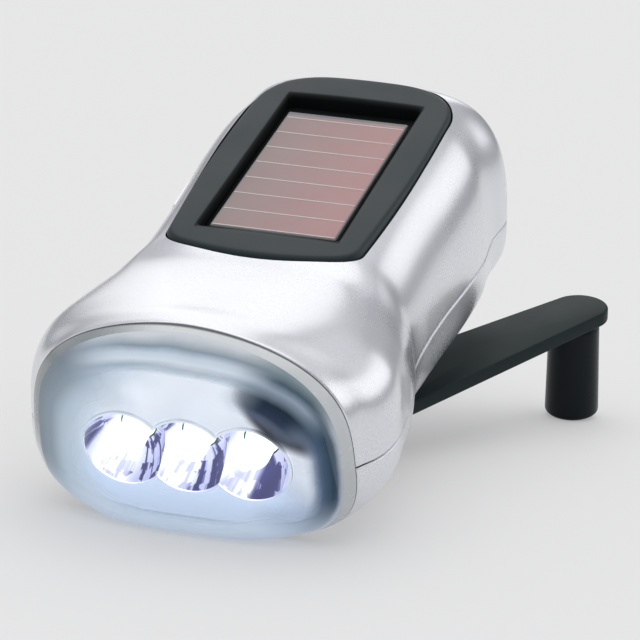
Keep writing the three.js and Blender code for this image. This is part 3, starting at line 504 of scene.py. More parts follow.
class Finish(Tree):
    """A material round a Principled shader."""

    def __init__(self, name):
        self.material = bpy.data.materials.new(name)
        self.material.use_nodes = True
        super().__init__(self.material.node_tree)
        self.tree.nodes.clear()
        self.coords = self.node("ShaderNodeTexCoord", output=3)

    def cloud(self, scale, detail=2):
        """Noise over the object's coordinates."""
        return self.noise(self.coords, scale, detail)

    def spread(self, cloud, low, high):
        """A noise, most of which lies round its middle, spread over a range."""
        return self.range(cloud, 0.3, 0.7, low, high)

    def along(self, axis, centre=(0, 0, 0)):
        """Millimetres from a point of the housing along one of its directions."""
        way = HOUSING.to_3x3().normalized() @ Vector(axis).normalized()
        start = HOUSING @ Vector(centre)
        offset = self.node("ShaderNodeVectorMath", {0: self.coords, 1: tuple(start)}, operation="SUBTRACT")
        return self.node("ShaderNodeVectorMath", {0: offset, 1: tuple(way)}, 1, operation="DOT_PRODUCT") / MM

    def lens_map(self):
        """The lens's UV map: the bearing from the bottom, in turns, and the share of the way out to the rim."""
        return self.parts(self.node("ShaderNodeUVMap", uv_map="share"), 2)

    def bump(self, height, strength, distance):
        return self.node("ShaderNodeBump", {"Height": height, "Strength": strength, "Distance": distance})

    def shader(self, **inputs):
        names = {key.replace("_", " "): value for key, value in inputs.items()}
        return self.node("ShaderNodeBsdfPrincipled", names)

    def done(self, shader):
        self.node("ShaderNodeOutputMaterial", {"Surface": shader})
        return self.material

    def surface(self, **inputs):
        return self.done(self.shader(**inputs))


def silver_paint():
    f = Finish("silver_paint")
    flake, cloud = f.cloud(2600, 1), f.cloud(60, 3)
    return f.surface(
        Base_Color=f.blend(f.range(flake, 0.35, 0.68), (0.74, 0.75, 0.8), (0.8, 0.805, 0.84)), Metallic=0.9,
        Roughness=f.spread(cloud, 0.25, 0.29) + flake * 0.02, Coat_Weight=0.3, Coat_Roughness=0.08,
        Normal=f.bump(flake, 0.03, 0.00004),
    )


def slate_plastic(name, tone, lift, rough, index):
    """Moulded plastic; within the solar window it is duller, and painted nearly black as shade in the recess."""
    f = Finish(name)
    grain, cloud = f.cloud(1800), f.cloud(90, 3)
    side, along = f.along((1, 0, 0)), f.along((0, 1, 0))
    within = 1.0 - f.rise(side.most(-side), WELL["half"], 0.4)
    dull_shaded_well = within * f.between(along, WELL["front"], 1.2, WELL["rear"], 0.8)
    return f.surface(
        # Painted shade: inside the window's recess the tone drops to 0.12 of itself.
        Base_Color=f.blend(dull_shaded_well, f.blend(cloud, tone, lift), tuple(0.12 * v for v in tone)),
        Roughness=f.spread(cloud, *rough) + grain * 0.03 + dull_shaded_well * 0.3, Normal=f.bump(grain, 0.08, 0.00006),
        IOR=index,
    )


# Painted reflection on the lens, in bands all round and in zones: start and end as bearings, each with its
# softness, then colours and cover by the share of the way out
LENS_REFLECTION_BANDS = [(0.45, 0.64, 0.72, 0.8), (0.73, 0.53, 0.61, 0.71), (0.85, 0.46, 0.53, 0.62)]
LENS_REFLECTION_ZONES = [
    ((0.6, 0.1, 0.8, 0.08),
     [(0.6, 0.52, 0.6, 0.67), (0.74, 0.43, 0.51, 0.58), (0.83, 0.25, 0.31, 0.36), (0.93, 0.19, 0.23, 0.27)],
     [(0.55, 0.0), (0.75, 0.6), (0.86, 0.85)]),
    ((0.355, 0.06, 0.6, 0.1),
     [(0.84, 0.42, 0.5, 0.58), (0.87, 0.3, 0.37, 0.44), (0.9, 0.62, 0.68, 0.75), (0.925, 0.5, 0.57, 0.65),
      (0.95, 0.2, 0.25, 0.3), (0.98, 0.5, 0.53, 0.56)],
     [(0.825, 0.0), (0.85, 0.75), (0.97, 0.92)]),
    ((0.19, 0.08, 0.36, 0.06),
     [(0.78, 0.24, 0.3, 0.42), (0.84, 0.05, 0.09, 0.155), (0.89, 0.024, 0.05, 0.08), (0.91, 0.04, 0.07, 0.11),
      (0.935, 0.4, 0.44, 0.49), (0.985, 0.36, 0.4, 0.44)],
     [(0.76, 0.0), (0.85, 0.88), (0.93, 0.75)]),
    ((0.32, 0.05, 0.405, 0.06),
     [(0.7, 0.2, 0.25, 0.36), (0.755, 0.02, 0.035, 0.07), (0.825, 0.012, 0.024, 0.042), (0.86, 0.15, 0.19, 0.24),
      (0.89, 0.26, 0.32, 0.4), (0.925, 0.05, 0.08, 0.11), (0.96, 0.2, 0.25, 0.28)],
     [(0.68, 0.0), (0.76, 0.85), (0.97, 0.9)]),
]


def clear_plastic():
    """Clear lens with bands of painted reflection, where bright and dark parts of a room show on it, laid on as a
    glowing satin layer.
    """
    f = Finish("clear_plastic")
    bearing, share = f.lens_map()
    cloud = f.cloud(160, 3)
    out = share + (cloud - 0.5) * 0.02
    tint, cover = f.ramp(out, LENS_REFLECTION_BANDS), f.range(out, 0.46, 0.64, 0.0, 0.88)
    for ends, colours, covers in LENS_REFLECTION_ZONES:
        zone = f.between(bearing, *ends)
        tint = f.blend(zone, tint, f.ramp(out, colours))
        cover = cover * (1.0 - zone) + f.ramp(out, [(at, *(value,) * 3) for at, value in covers]) * zone
    haze = f.spread(cloud, 0.0, 0.03)
    clear = f.shader(Base_Color=(0.97, 0.985, 1.0), Transmission_Weight=1.0, IOR=1.4, Roughness=haze)
    # The painted reflection: a satin colour that also glows, laid over the clear plastic by the cover.
    painted_reflection = f.shader(Base_Color=tint, Roughness=0.3, IOR=1.15, Emission_Color=tint, Emission_Strength=0.4)
    return f.done(f.node("ShaderNodeMixShader", {0: cover, 1: clear, 2: painted_reflection}))


def frosted_rim():
    """Pale flange of the lens, greyer at the upper left by painted shade, with a painted dark line of shade where it
    meets the housing.
    """
    f = Finish("frosted_rim")
    bearing, share = f.lens_map()
    cloud = f.cloud(140, 3)
    pale = f.blend(cloud, (0.74, 0.78, 0.8), (0.88, 0.9, 0.91))
    # Painted shade: grey sectors of the flange, strongest at the upper left.
    grey = f.between(bearing, 0.56, 0.1, 0.76, 0.06) * 0.8 + f.between(bearing, 0.1, 0.1, 0.3, 0.16) * 0.25
    pale_and_shaded = f.blend(grey, pale, (0.2, 0.23, 0.25))
    # Painted shade: a dark line at the outer edge, in the gap where the flange meets the housing.
    return f.surface(
        Base_Color=f.blend(f.rise(share, 0.997, 0.003), pale_and_shaded, (0.05, 0.06, 0.065)),
        Roughness=f.spread(cloud, 0.2, 0.32), Transmission_Weight=0.1, Coat_Weight=0.3,
    )


def mirror_plating():
    """Bright plating that glows faintly as painted lamp light, with a painted dark reflection in one upper corner of
    the face.
    """
    f = Finish("mirror_plating")
    cloud = f.cloud(110)
    long, short = (f.along(way, DARK_REFLECTION["place"]) / size for way, size in zip(DARK_REFLECTION["ways"], DARK_REFLECTION["sizes"]))
    # Painted dark reflection: a soft patch, made ragged by the noise.
    dark_reflection = 1.0 - f.rise(long * long + short * short + (cloud - 0.5) * 0.5, 0.95, 0.9)
    return f.surface(
        Base_Color=f.blend(dark_reflection, (0.92, 0.95, 1.0), (0.006, 0.009, 0.028)), Metallic=1.0,
        Roughness=f.spread(cloud, 0.2, 0.28) + dark_reflection * 0.15,
        # Painted lamp light: the plating glows faintly, and hardly at all in the painted dark reflection.
        Emission_Color=f.blend(dark_reflection, (0.86, 0.92, 1.0), (0.0, 0.005, 0.02)), Emission_Strength=0.2,
    )


# Painted lamp light on the cups, by the painted shade: white where lit, deep violet where shaded.
CUP_PAINTED_GLOW = [(0.0, 0.85, 0.87, 1.0), (0.3, 0.45, 0.46, 0.68), (0.65, 0.12, 0.12, 0.26), (1.0, 0.02, 0.02, 0.07)]


def cup_plating():
    """Faceted plating of the cups, with a painted white glow of lamp light and painted violet shade in wedges in the
    right hand walls.
    """
    f = Finish("cup_plating")
    facet = f.node("ShaderNodeTexVoronoi", {"Vector": f.coords, "Scale": 620.0}, output=1, feature="F1")
    grey = f.node("ShaderNodeSeparateColor", {0: facet})
    x = f.along((1, 0, 0)) + 1.5 * LAMP_PITCH
    side = f.maths("MODULO", x, LAMP_PITCH) - LAMP_PITCH / 2
    high = f.along((0, RIM_LEAN, 1)) - LAMP_LIFT
    round_cup, which_cup = f.maths("ARCTAN2", high, side) * 2.4, f.maths("FLOOR", x / LAMP_PITCH) * 7.0
    spoke = f.noise(f.node("ShaderNodeCombineXYZ", {0: round_cup, 1: which_cup}), 1.6, 2)
    painted_wedge = f.rise(spoke + (grey - 0.5) * 0.22, 0.52, 0.1)
    # Where the painted shade falls: the right hand walls, the upper left and a little low down.
    right, upper_left, low = side - high * 0.35, high - side, -high
    place = f.rise(right, 1.6, 2.6).most(f.rise(upper_left, 5.4, 1.8) * 0.9).most(f.rise(low, 4.2, 1.6) * 0.45)
    shade = (place * (0.35 + painted_wedge * 0.75)).least(1.0)
    return f.surface(
        Base_Color=f.blend(shade, (0.8, 0.82, 0.95), (0.05, 0.05, 0.14)), Metallic=0.8, Roughness=0.3,
        Emission_Color=f.ramp(shade, CUP_PAINTED_GLOW), Emission_Strength=0.42,
    )


def lens_shroud():
    """Satin band behind the lens rim, with a painted reflection: slate blue at the upper right, pale blue at the
    lower left.
    """
    f = Finish("lens_shroud")
    # Painted reflection: colour by a direction across the face, with noise at its edges.
    place = f.range(f.along((0.8, 0, 0.6)) + (f.cloud(90) - 0.5) * 6, -16, 20)
    stops = [(0.0, 0.36, 0.44, 0.5), (0.35, 0.3, 0.36, 0.41), (0.62, 0.16, 0.18, 0.19), (1.0, 0.05, 0.08, 0.12)]
    return f.surface(Base_Color=f.ramp(place, stops), Roughness=0.32, Metallic=0.25)


def lit_resin():
    f = Finish("lit_resin")
    glow = f.blend(f.range(f.cloud(300), 0.35, 0.65), (0.8, 0.82, 1.0), (1.0, 1.0, 1.0))
    return f.surface(Base_Color=(0.9, 0.92, 1.0), Roughness=0.2, Emission_Color=glow, Emission_Strength=1.25)


def cell_glass():
    f = Finish("cell_glass")
    across, cloud = f.parts(f.coords, 1)[0], f.cloud(160, 3)
    side = f.range(across, -0.018, 0.004) + (cloud - 0.5) * 0.35
    return f.surface(
        Base_Color=f.ramp(side, [(0.0, 0.245, 0.158, 0.156), (1.0, 0.4, 0.178, 0.18)]),
        Roughness=f.spread(cloud, 0.3, 0.4), Coat_Weight=0.35, Coat_Roughness=0.15,
        Normal=f.bump(cloud, 0.05, 0.0001),
    )


def green_board():
    f = Finish("green_board")
    cells = f.node("ShaderNodeTexVoronoi", {"Vector": f.coords, "Scale": 420.0}, feature="DISTANCE_TO_EDGE")
    colour = f.blend(f.range(cells, 0.02, 0.08), (0.1, 0.33, 0.14), (0.03, 0.16, 0.07))
    return f.surface(Base_Color=colour, Roughness=0.35)


def mottled(name, scale, dark, pale, rough, metallic=0.0, detail=3):
    """A finish that wanders between two tones; rough is a number or two ends of a range."""
    f = Finish(name)
    cloud = f.cloud(scale, detail)
    rough = f.spread(cloud, *rough) if isinstance(rough, tuple) else rough
    return f.surface(Base_Color=f.blend(cloud, dark, pale), Roughness=rough, Metallic=metallic)


PAINT = silver_paint()
SLATE = slate_plastic("slate_plastic", (0.017, 0.027, 0.031), (0.026, 0.038, 0.042), (0.32, 0.42), 1.27)
KNOB_PLASTIC = slate_plastic("knob_plastic", (0.004, 0.007, 0.01), (0.008, 0.012, 0.016), (0.24, 0.32), 1.24)
ARM_PLASTIC = slate_plastic("arm_plastic", (0.011, 0.02, 0.021), (0.018, 0.028, 0.029), (0.34, 0.44), 1.17)
CLEAR = clear_plastic()
FROSTED = frosted_rim()
PLATING = mirror_plating()
CUP_PLATING = cup_plating()
SHROUD = lens_shroud()
RESIN = lit_resin()
CELL_GLASS = cell_glass()
BOARD = green_board()
BORDER = mottled("cell_border", 400, (0.13, 0.14, 0.15), (0.2, 0.21, 0.22), 0.35, detail=2)
LINE = mottled("silver_line", 900, (0.56, 0.54, 0.5), (0.68, 0.66, 0.62), 0.5, detail=2)
STEEL = mottled("steel", 700, (0.48, 0.49, 0.51), (0.62, 0.63, 0.65), (0.25, 0.4), 1.0)
BRASS = mottled("brass", 500, (0.6, 0.43, 0.17), (0.76, 0.58, 0.28), (0.24, 0.4), 1.0)
ACETAL = mottled("acetal", 300, (0.75, 0.73, 0.67), (0.84, 0.82, 0.76), 0.45)
MAGNET = mottled("magnet", 800, (0.1, 0.1, 0.11), (0.17, 0.17, 0.18), 0.4, 0.8)


# ---- Housing shells ----
IN_PANEL = Matrix.Rotation(PANEL_TILT, 4, "X") @ Matrix.Translation((0, 0, PANEL_HEIGHT))
IN_RIM = Matrix.Rotation(HALF - RIM_LEAN, 4, "X")
AT_CRANK = Matrix.Translation((0, CRANK_Y, 0)) @ Matrix.Rotation(CRANK_ANGLE, 4, "Z")


def bent(start, control, end, count):
    """A quadratic curve, without its last point."""
    t = np.linspace(0, 1, count, endpoint=False)[:, None]
    a, b, c = (np.asarray(p, float) for p in (start, control, end))
    return (1 - t) ** 2 * a + 2 * t * (1 - t) * b + t * t * c


def meeting(a, b, c, d):
    """Where the line from a through b meets the line from d through c."""
    (ax, ay), (bx, by), (cx, cy), (dx, dy) = a, b, c, d
    ux, uy, vx, vy = bx - ax, by - ay, cx - dx, cy - dy
    t = ((cx - bx) * vy - (cy - by) * vx) / (ux * vy - uy * vx)
    return bx + ux * t, by + uy * t


def panel_outline(grow, straight=40, corner=20):
    p = PANEL
    a, b = p["front_half"] + grow, p["rear_half"] + grow
    front, rear = p["front"] - grow, p["rear"] + grow
    f, r = p["front_radius"] + grow, p["rear_radius"] + grow
    nose, back = (0, front - p["front_bow"]), (0, rear + p["rear_bow"])
    side = ((a + b) / 2 + p["side_bow"], (front + rear) / 2)
    p1, p2, p3, p4 = (a - f, front), (a, front + f), (b, rear - r), (b - r, rear)
    c1, c2 = meeting(nose, p1, p2, side), meeting(side, p3, p4, back)
    half = np.vstack([bent(p1, c1, p2, corner), bent(p2, side, p3, straight), bent(p3, c2, p4, corner)])
    left = (half * (-1, 1))[::-1]
    return np.vstack([
        bent((-p1[0], p1[1]), nose, p1, straight), half, bent(p4, back, (-p4[0], p4[1]), straight),
        (-p4[0], p4[1]), left[:-1],
    ])


def rounded_rectangle(x0, x1, y0, y1, r, straight=40, corner=20):
    corners = np.array([(x0, y0), (x1, y0), (x1, y1), (x0, y1)], float)
    rows = []
    for i, start in enumerate(corners):
        end, after = corners[(i + 1) % 4], corners[(i + 2) % 4]
        out, back = np.sign(end - start) * r, np.sign(after - end) * r
        rows += [bent(start + out, (start + end) / 2, end - out, straight), bent(end - out, end, end + back, corner)]
    return np.vstack(rows)


def pocket_block(grow):
    radius = POCKET["half"]
    half = radius + grow
    outline = rounded_rectangle(-half, half, KNOB_Y - half, KNOB_Y + half + POCKET["swing"], radius)
    return prism(outline, -FAR, POCKET["top"] + grow)


COARSE = {"quarter": 24, "straight": 44}


def hollow():
    """The whole housing's wall, open at the rim, with its flat base."""
    outer = loft("hollow", skin_rings(GAP, edge=EDGE, seam_edge=SEAM_EDGE), tip=(0, LENGTH, 0))
    inner = loft("inner", skin_rings(-1.0, grow=-WALL, **COARSE), tip=(0, LENGTH - WALL, 0))
    carve(outer, carve(inner, slab(-FAR, FLOOR_Z, BASE_START, LENGTH)))
    return carve(outer, slab(-FAR, -BASE_DEPTH, BASE_START, 2 * LENGTH))


def solid_skin(grow):
    return loft("solid", skin_rings(0.5, grow=grow, **COARSE), tip=(0, LENGTH + grow, 0))


def shells():
    whole = hollow()
    upper, lower = link("upper", whole.data.copy()), link("lower", whole.data.copy())
    bpy.data.objects.remove(whole)
    keep(upper, slab(GAP / 2, FAR, y1=2 * LENGTH))
    for x, y in SCREWS:
        join(upper, keep(rod(SCREW["post"], GAP / 2, SHOULDER, x, y), solid_skin(-WALL / 2)))
    carve(upper, moved(prism(panel_outline(GAP), -PANEL_DEPTH - PANEL_CROWN - GAP, FAR), IN_PANEL))
    for x, y in SCREWS:
        carve(upper, rod(SCREW["hole"], -GAP, -BASE_DEPTH + SCREW["length"] + 2, x, y))
    keep(lower, slab(-FAR, -GAP / 2, y1=2 * LENGTH))
    join(lower, keep(keep(pocket_block(WALL), slab(FLOOR_Z - WALL / 2, FAR, 0, LENGTH)), solid_skin(-GAP)))
    carve(lower, pocket_block(0))
    for x, y in SCREWS:
        join(lower, rod(SCREW["post"], FLOOR_Z - WALL / 2, -GAP / 2, x, y))
        carve(lower, rod(SCREW["hole"], -BASE_DEPTH - GAP, GAP, x, y))
        carve(lower, rod(SCREW["head"] + GAP, -BASE_DEPTH - GAP, -BASE_DEPTH + SCREW["head_height"] + GAP, x, y))
    carve(lower, rod(HUB_HOLE + GAP, -HEAD_DEPTH - GAP, FLOOR_Z + GAP, 0, CRANK_Y))
    finish(upper, "upper_housing", PAINT, ["upper_shell"])
    finish(lower, "lower_housing", PAINT, ["lower_shell"])


# ---- Solar panel ----
def window_outline(grow):
    w, half = WINDOW, WINDOW["half"] + grow
    return rounded_rectangle(-half, half, w["front"] - grow, w["rear"] + grow, w["radius"] + grow)


def solar_frame(outer_edge=1.0, inner_edge=0.7, under_middle=70.0, well_middle=68.0):
    """Bezel: up the outside, over the crowned top, down into the tray."""
    def at(outline, z):
        return np.column_stack([outline, z - PANEL_CROWN * (outline[:, 0] / PANEL["rear_half"]) ** 2])
    rings = [at(panel_outline(0), -PANEL_DEPTH)]
    rings += [at(panel_outline(-inset), -drop) for inset, drop in rounded(outer_edge, 9)]
    lip, mouth = panel_outline(-outer_edge), window_outline(inner_edge)
    rings += [at(lip * (1 - t) + mouth * t, 0) for t in np.linspace(0, 1, 8)[1:-1]]
    rings += [at(window_outline(inset), -drop) for drop, inset in rounded(inner_edge, 8)]
    floor = -RECESS - CELL["thickness"] - GAP
    rings += [flat_ring(window_outline(0), z) for z in (-RECESS, floor + GAP, floor)]
    piece = loft("bezel", rings, foot=(0, under_middle, -PANEL_DEPTH), tip=(0, well_middle, floor))
    finish(moved(piece, IN_PANEL), "panel_bezel", SLATE, ["solar_frame"])


def solar_cell(edge=0.15, radius=0.4, margin=0.35, rear_margin=1.1, rise=0.03):
    c = CELL
    top = -RECESS
    rings = []
    for inset, z in ((0, top - c["thickness"]), (0, top - edge), (edge, top)):
        half = c["half"] - inset
        outline = rounded_rectangle(-half, half, c["front"] + inset, c["rear"] - inset, radius - inset, 8, 4)
        rings.append(flat_ring(outline, z))
    finish(moved(loft("cell", rings), IN_PANEL), "cell_base", BORDER, ["solar_cell"])
    half = c["half"] - margin
    sheet = block((-half, c["front"] + margin, top - edge), (half, c["rear"] - rear_margin, top + rise))
    finish(moved(sheet, IN_PANEL), "cell_sheet", CELL_GLASS)


class Growth(Tree):
    """A Geometry Nodes tree with named inputs, which lays one thing on many points."""

    def __init__(self, name, **kinds):
        super().__init__(bpy.data.node_groups.new(name, "GeometryNodeTree"))
        for key, kind in {**kinds, "Finish": "Material"}.items():
            self.tree.interface.new_socket(key, in_out="INPUT", socket_type="NodeSocket" + kind)
        self.tree.interface.new_socket("Geometry", in_out="OUTPUT", socket_type="NodeSocketGeometry")
        self.given = {s.name: Term(self, s) for s in self.tree.nodes.new("NodeGroupInput").outputs}

    def lay(self, **inputs):
        laid = self.node("GeometryNodeInstanceOnPoints", inputs)
        plain = self.node("GeometryNodeRealizeInstances", {"Geometry": laid})
        painted = {"Geometry": plain, "Material": self.given["Finish"]}
        self.node("NodeGroupOutput", {0: self.node("GeometryNodeSetMaterial", painted)})
        return self.tree


def strip_tree():
    """Thin strips set side by side along Y."""
    t = Growth("cell_strips", Count="Int", Pitch="Float", Length="Float", Width="Float", Height="Float")
    count, pitch, *sizes = (t.given[key] for key in ("Count", "Pitch", "Length", "Width", "Height"))
    size, step = (t.node("ShaderNodeCombineXYZ", inputs) for inputs in (dict(enumerate(sizes)), {1: pitch}))
    row = t.node("GeometryNodeMeshLine", {"Count": count, "Offset": step}, mode="OFFSET")
    return t.lay(Points=row, Instance=t.node("GeometryNodeMeshCube", {"Size": size}))


def screw_tree():
    """One screw on every vertex, each turned to an angle of its own."""
    t = Growth("screw_places", Places="Geometry", Screw="Object", Seed="Int")
    screw = t.node("GeometryNodeObjectInfo", {"Object": t.given["Screw"]}, output=4)
    draw = {2: 0.0, 3: TURN, 8: t.given["Seed"]}
    angle = t.node("FunctionNodeRandomValue", draw, output=1, data_type="FLOAT")
    turn = t.node("ShaderNodeCombineXYZ", {2: angle})
    return t.lay(Points=t.given["Places"], Instance=screw, Rotation=turn)


def grown(name, group, places=None, **values):
    """A plain mesh from a Geometry Nodes tree with the given inputs."""
    obj = link(name, places or bpy.data.meshes.new(name))
    modifier = obj.modifiers.new("grow", "NODES")
    modifier.node_group = group
    sockets = {s.name: s.identifier for s in group.interface.items_tree if s.in_out == "INPUT"}
    for key, value in values.items():
        modifier[sockets[key]] = value
    bpy.context.view_layer.update()
    obj.data = evaluated(obj)
    return obj


def shell_screws(dome_height=0.45, seed=5):
    """Four cross headed screws, in from below."""
    low = -BASE_DEPTH + GAP / 2
    head, shank, top, end = SCREW["head"], SCREW["shank"], low + SCREW["head_height"], low + SCREW["length"]
    brim = top - dome_height
    profile = [(0, low)]
    profile += [(head * sin(t), brim - (brim - low) * cos(t)) for t in arc(9)[1:]]
    profile += [(head, top), (shank, top), (shank, end - SCREW["point"]), (0, end)]
    one = turned("screw", profile)
    for x, y in (CROSS, CROSS[::-1]):
        carve(one, block((-x, -y, low - 1), (x, y, low + CROSS_DEPTH)))
    places = bpy.data.meshes.new("places")
    places.from_pydata([(x, y, 0) for x, y in SCREWS], [], [])
    screws = grown("shell_screws", screw_tree(), places, Screw=one, Seed=seed, Finish=STEEL)
    bpy.data.objects.remove(one)
    nodes = [f"shell_screw_{i + 1}" for i in range(len(SCREWS))]
    finish(screws, "shell_screws", STEEL, nodes)


def cell_lines(count=8, width=0.3, height=0.1, rise=0.06, first=0.6, ends=2.9, side=0.7):
    c = CELL
    pitch = (c["rear"] - c["front"] - ends) / (count - 1)
    lines = grown("cell_lines", strip_tree(), Count=count, Pitch=pitch, Length=2 * c["half"] - side, Width=width,
                  Height=height, Finish=LINE)
    moved(lines, Matrix.Translation((0, c["front"] + first, rise - height / 2 - RECESS)))
    finish(moved(lines, IN_PANEL), "cell_lines", LINE)


# ---- Lens, reflector and lamps ----
def lens_rings(shrink, depth, start, count=44, around=192, spacing=1.6, tip_rise=0.02):
    """The rim's outline drawn in as it comes forward, and the point that closes it."""
    forward = np.array([0, -cos(LENS_RISE), sin(LENS_RISE)])
    quarter = HALF * even(around // 4 + 1, spacing)[:-1]
    rim = rim_point(np.concatenate([quarter + k * HALF for k in range(4)]), -shrink)
    table = [(i, *row) for i, row in enumerate(LENS_SHARES)]
    rings = []
    for u in np.linspace(0, len(table) - 1, count):
        along, across, up = (float(curve(table, k, u)) for k in (1, 2, 3))
        rings.append(rim * np.array([across, up, up]) + forward * (start + (depth - start) * along))
    return np.array(rings), rings[-1].mean(0) + forward * tip_rise


def lay_shares(obj, steps=1440):
    """Lays the lens's UV map on a piece of it."""
    x, up = rim_plane(TURN * np.arange(steps) / steps)
    turn = np.arctan2(up, x)
    order = np.argsort(turn)
    back = np.array(IN_RIM.inverted())
    spots = np.array([vertex.co for vertex in obj.data.vertices]) @ back[:3, :3].T + back[:3, 3]
    bearing = np.arctan2(spots[:, 1], spots[:, 0])
    share = np.hypot(spots[:, 0], spots[:, 1]) / np.interp(bearing, turn[order], np.hypot(up, x)[order])
    around = (bearing / TURN + 0.25) % 1
    layer = obj.data.uv_layers.new(name="share")
    for face in obj.data.polygons:
        most = max(around[i] for i in face.vertices)
        for loop, i in zip(face.loop_indices, face.vertices):
            past_seam = most - around[i] > 0.5
            layer.data[loop].uv = (around[i] + past_seam, share[i])


def lens(parting=0.02, sharp=50):
    rings, tip = lens_rings(0, LENS_DEPTH, 0)
    outer = loft("lens", rings, tip=tip)
    rings, tip = lens_rings(LENS_WALL, LENS_DEPTH - LENS_WALL, -GAP)
    carve(outer, loft("hollow", rings, tip=tip))
    flange = link("flange", outer.data.copy())
    lay_shares(keep(outer, moved(slab(LENS_FLANGE, FAR), IN_RIM)))
    finish(outer, "lens_dome", CLEAR, ["lens_cover"], sharp)
    lay_shares(keep(flange, moved(slab(-FAR, LENS_FLANGE - parting), IN_RIM)))
    finish(flange, "lens_flange", FROSTED, sharp=sharp)


def cup_profile(mouth, throat, back, front, steps=10):
    bowl = [(throat + (mouth - throat) * sqrt(t), back + (front - back) * t) for t in np.linspace(0, 1, steps)]
    return [(0, back), *bowl, (0, front)]


def reflector(edge=0.5, rim_points=160, sides=96, past=9, slack=0.05):
    """A raised face with a skirt that slopes back to the rim, and three cups with beaded mouths."""
    around = TURN * np.arange(rim_points) / rim_points
    def ring(inset, depth, across=1.0, above=1.0, below=1.0):
        x, up = rim_plane(around, -inset)
        return flat_ring(np.stack([x * across, up * np.where(up > 0, above, below)], -1), depth)
    back, low = ring(SKIRT["back_inset"], SKIRT["back"]), ring(SKIRT["front_inset"], SKIRT["front"])
    corner, flat = ring(0, FACE, **FACE_SHARES), ring(edge, FACE, **FACE_SHARES)
    start = corner + (low - corner) * edge / (FACE - SKIRT["front"])
    skirt = [low * (1 - t) + start * t for t in np.linspace(0, 1, 6)]
    fillet = [start * (1 - t) ** 2 + 2 * t * (1 - t) * corner + flat * t * t for t in np.linspace(0, 1, 8)[1:]]
    solid = loft("reflector", [back, *skirt, *fillet])
    mouth, throat, wall, low = CUP["mouth"], CUP["throat"], CUP["wall"], FACE - CUP["depth"]
    lip, beaded = mouth + BEAD["width"], FACE + BEAD["rise"]
    cup = cup_profile(mouth + wall, throat + wall, low, FACE - GAP)
    bead = [(0, FACE - GAP), (lip, FACE - GAP), (lip, FACE + BEAD["rise"] * 0.4),
            (lip - BEAD["width"] * 0.3, beaded), (0, beaded)]
    inside = [(0, low), *cup_profile(mouth, throat, low, FACE)[1:-1], (mouth, FACE + past), (0, FACE + past)]
    for x in LAMP_XS:
        for profile in (cup, bead):
            join(solid, turned("cup", profile, x, LAMP_LIFT, sides))
    for x in LAMP_XS:
        carve(solid, turned("inside", inside, x, LAMP_LIFT, sides))
        carve(solid, rod(throat, low - past, low + GAP, x, LAMP_LIFT, sides))
    dark = SKIRT["front"] + SKIRT["dark"] * (FACE - SKIRT["front"])
    def coat_at(centre):
        """Index of the finish: 0 on the face, 1 in the cups, 2 on the skirt."""
        x, up, depth = centre
        near = min(hypot(x - lamp, up - LAMP_LIFT) for lamp in LAMP_XS)
        if near < mouth + slack and depth < FACE:
            return 1
        return 2 if depth < dark else 0
    coats = [coat_at(face.center) for face in solid.data.polygons]
    moved(solid, IN_RIM)
    finish(solid, "cup_reflector", (PLATING, CUP_PLATING, SHROUD), ["reflector"])
    solid.data.polygons.foreach_set("material_index", coats)


def lamps(sides=40):
    flange, radius = LAMP["flange"], LAMP["radius"]
    base = FACE - CUP["depth"] - LAMP["flange_height"]
    brim, dome = base + LAMP["flange_height"], base + LAMP["height"] - radius
    profile = [(0, base), (flange, base), (flange, brim), (radius, brim)]
    profile += [(radius * cos(t), dome + radius * sin(t)) for t in arc(12)[:-1]]
    profile.append((0, dome + radius))
    for x, node in zip(LAMP_XS, LAMP_NODES):
        bulb = turned("bulb", profile, x, LAMP_LIFT, sides)
        finish(moved(bulb, IN_RIM), node + "_bulb", RESIN, [node])


# ---- Crank ----
def arm_outline(grow=0.0, side_points=30, tip_points=40):
    w, e, reach, start = ARM["root"] + grow, ARM["end"] + grow, ARM["reach"], PIN_OUT - grow
    slope = asin((w - e) / (reach - PIN_OUT))
    tip = np.linspace(slope - HALF, HALF - slope, tip_points)
    end = np.column_stack([reach + e * np.cos(tip), e * np.sin(tip)])
    low = np.linspace((start, -w), end[0], side_points)[:-1]
    high = np.linspace(end[-1], (start, w), side_points)[1:]
    return np.vstack([low, end, high])


def across_rod(radius, y0, y1, x, z):
    return moved(rod(radius, y0, y1), Matrix.Translation((x, 0, z)) @ Matrix.Rotation(-HALF, 4, "X"))


def crank_arm():
    w, half = ARM["root"], ARM["slot_half"]
    layers = [(arm_outline(-inset), rise) for rise, inset in rounded(ARM["edge"], 6)]
    rings = [flat_ring(outline, ARM_LOW + rise) for outline, rise in layers]
    rings += [flat_ring(outline, ARM_TOP - rise) for outline, rise in layers[::-1]]
    arm = loft("arm", rings)
    join(arm, across_rod(KNUCKLE, -w, w, PIN_OUT, PIN_Z))
    carve(arm, block((-FAR, -half, -FAR), (ARM["slot_end"], half, 0)))
    carve(arm, across_rod(ARM["pin"] + RUN, -w - GAP, w + GAP, PIN_OUT, PIN_Z))
    carve(arm, rod(KNOB["bore"] - GAP, ARM_LOW - GAP, ARM_TOP - ARM["skin"], KNOB_REACH, 0))
    finish(moved(arm, AT_CRANK), "arm_bar", ARM_PLASTIC, ["crank_arm"], body="arm")


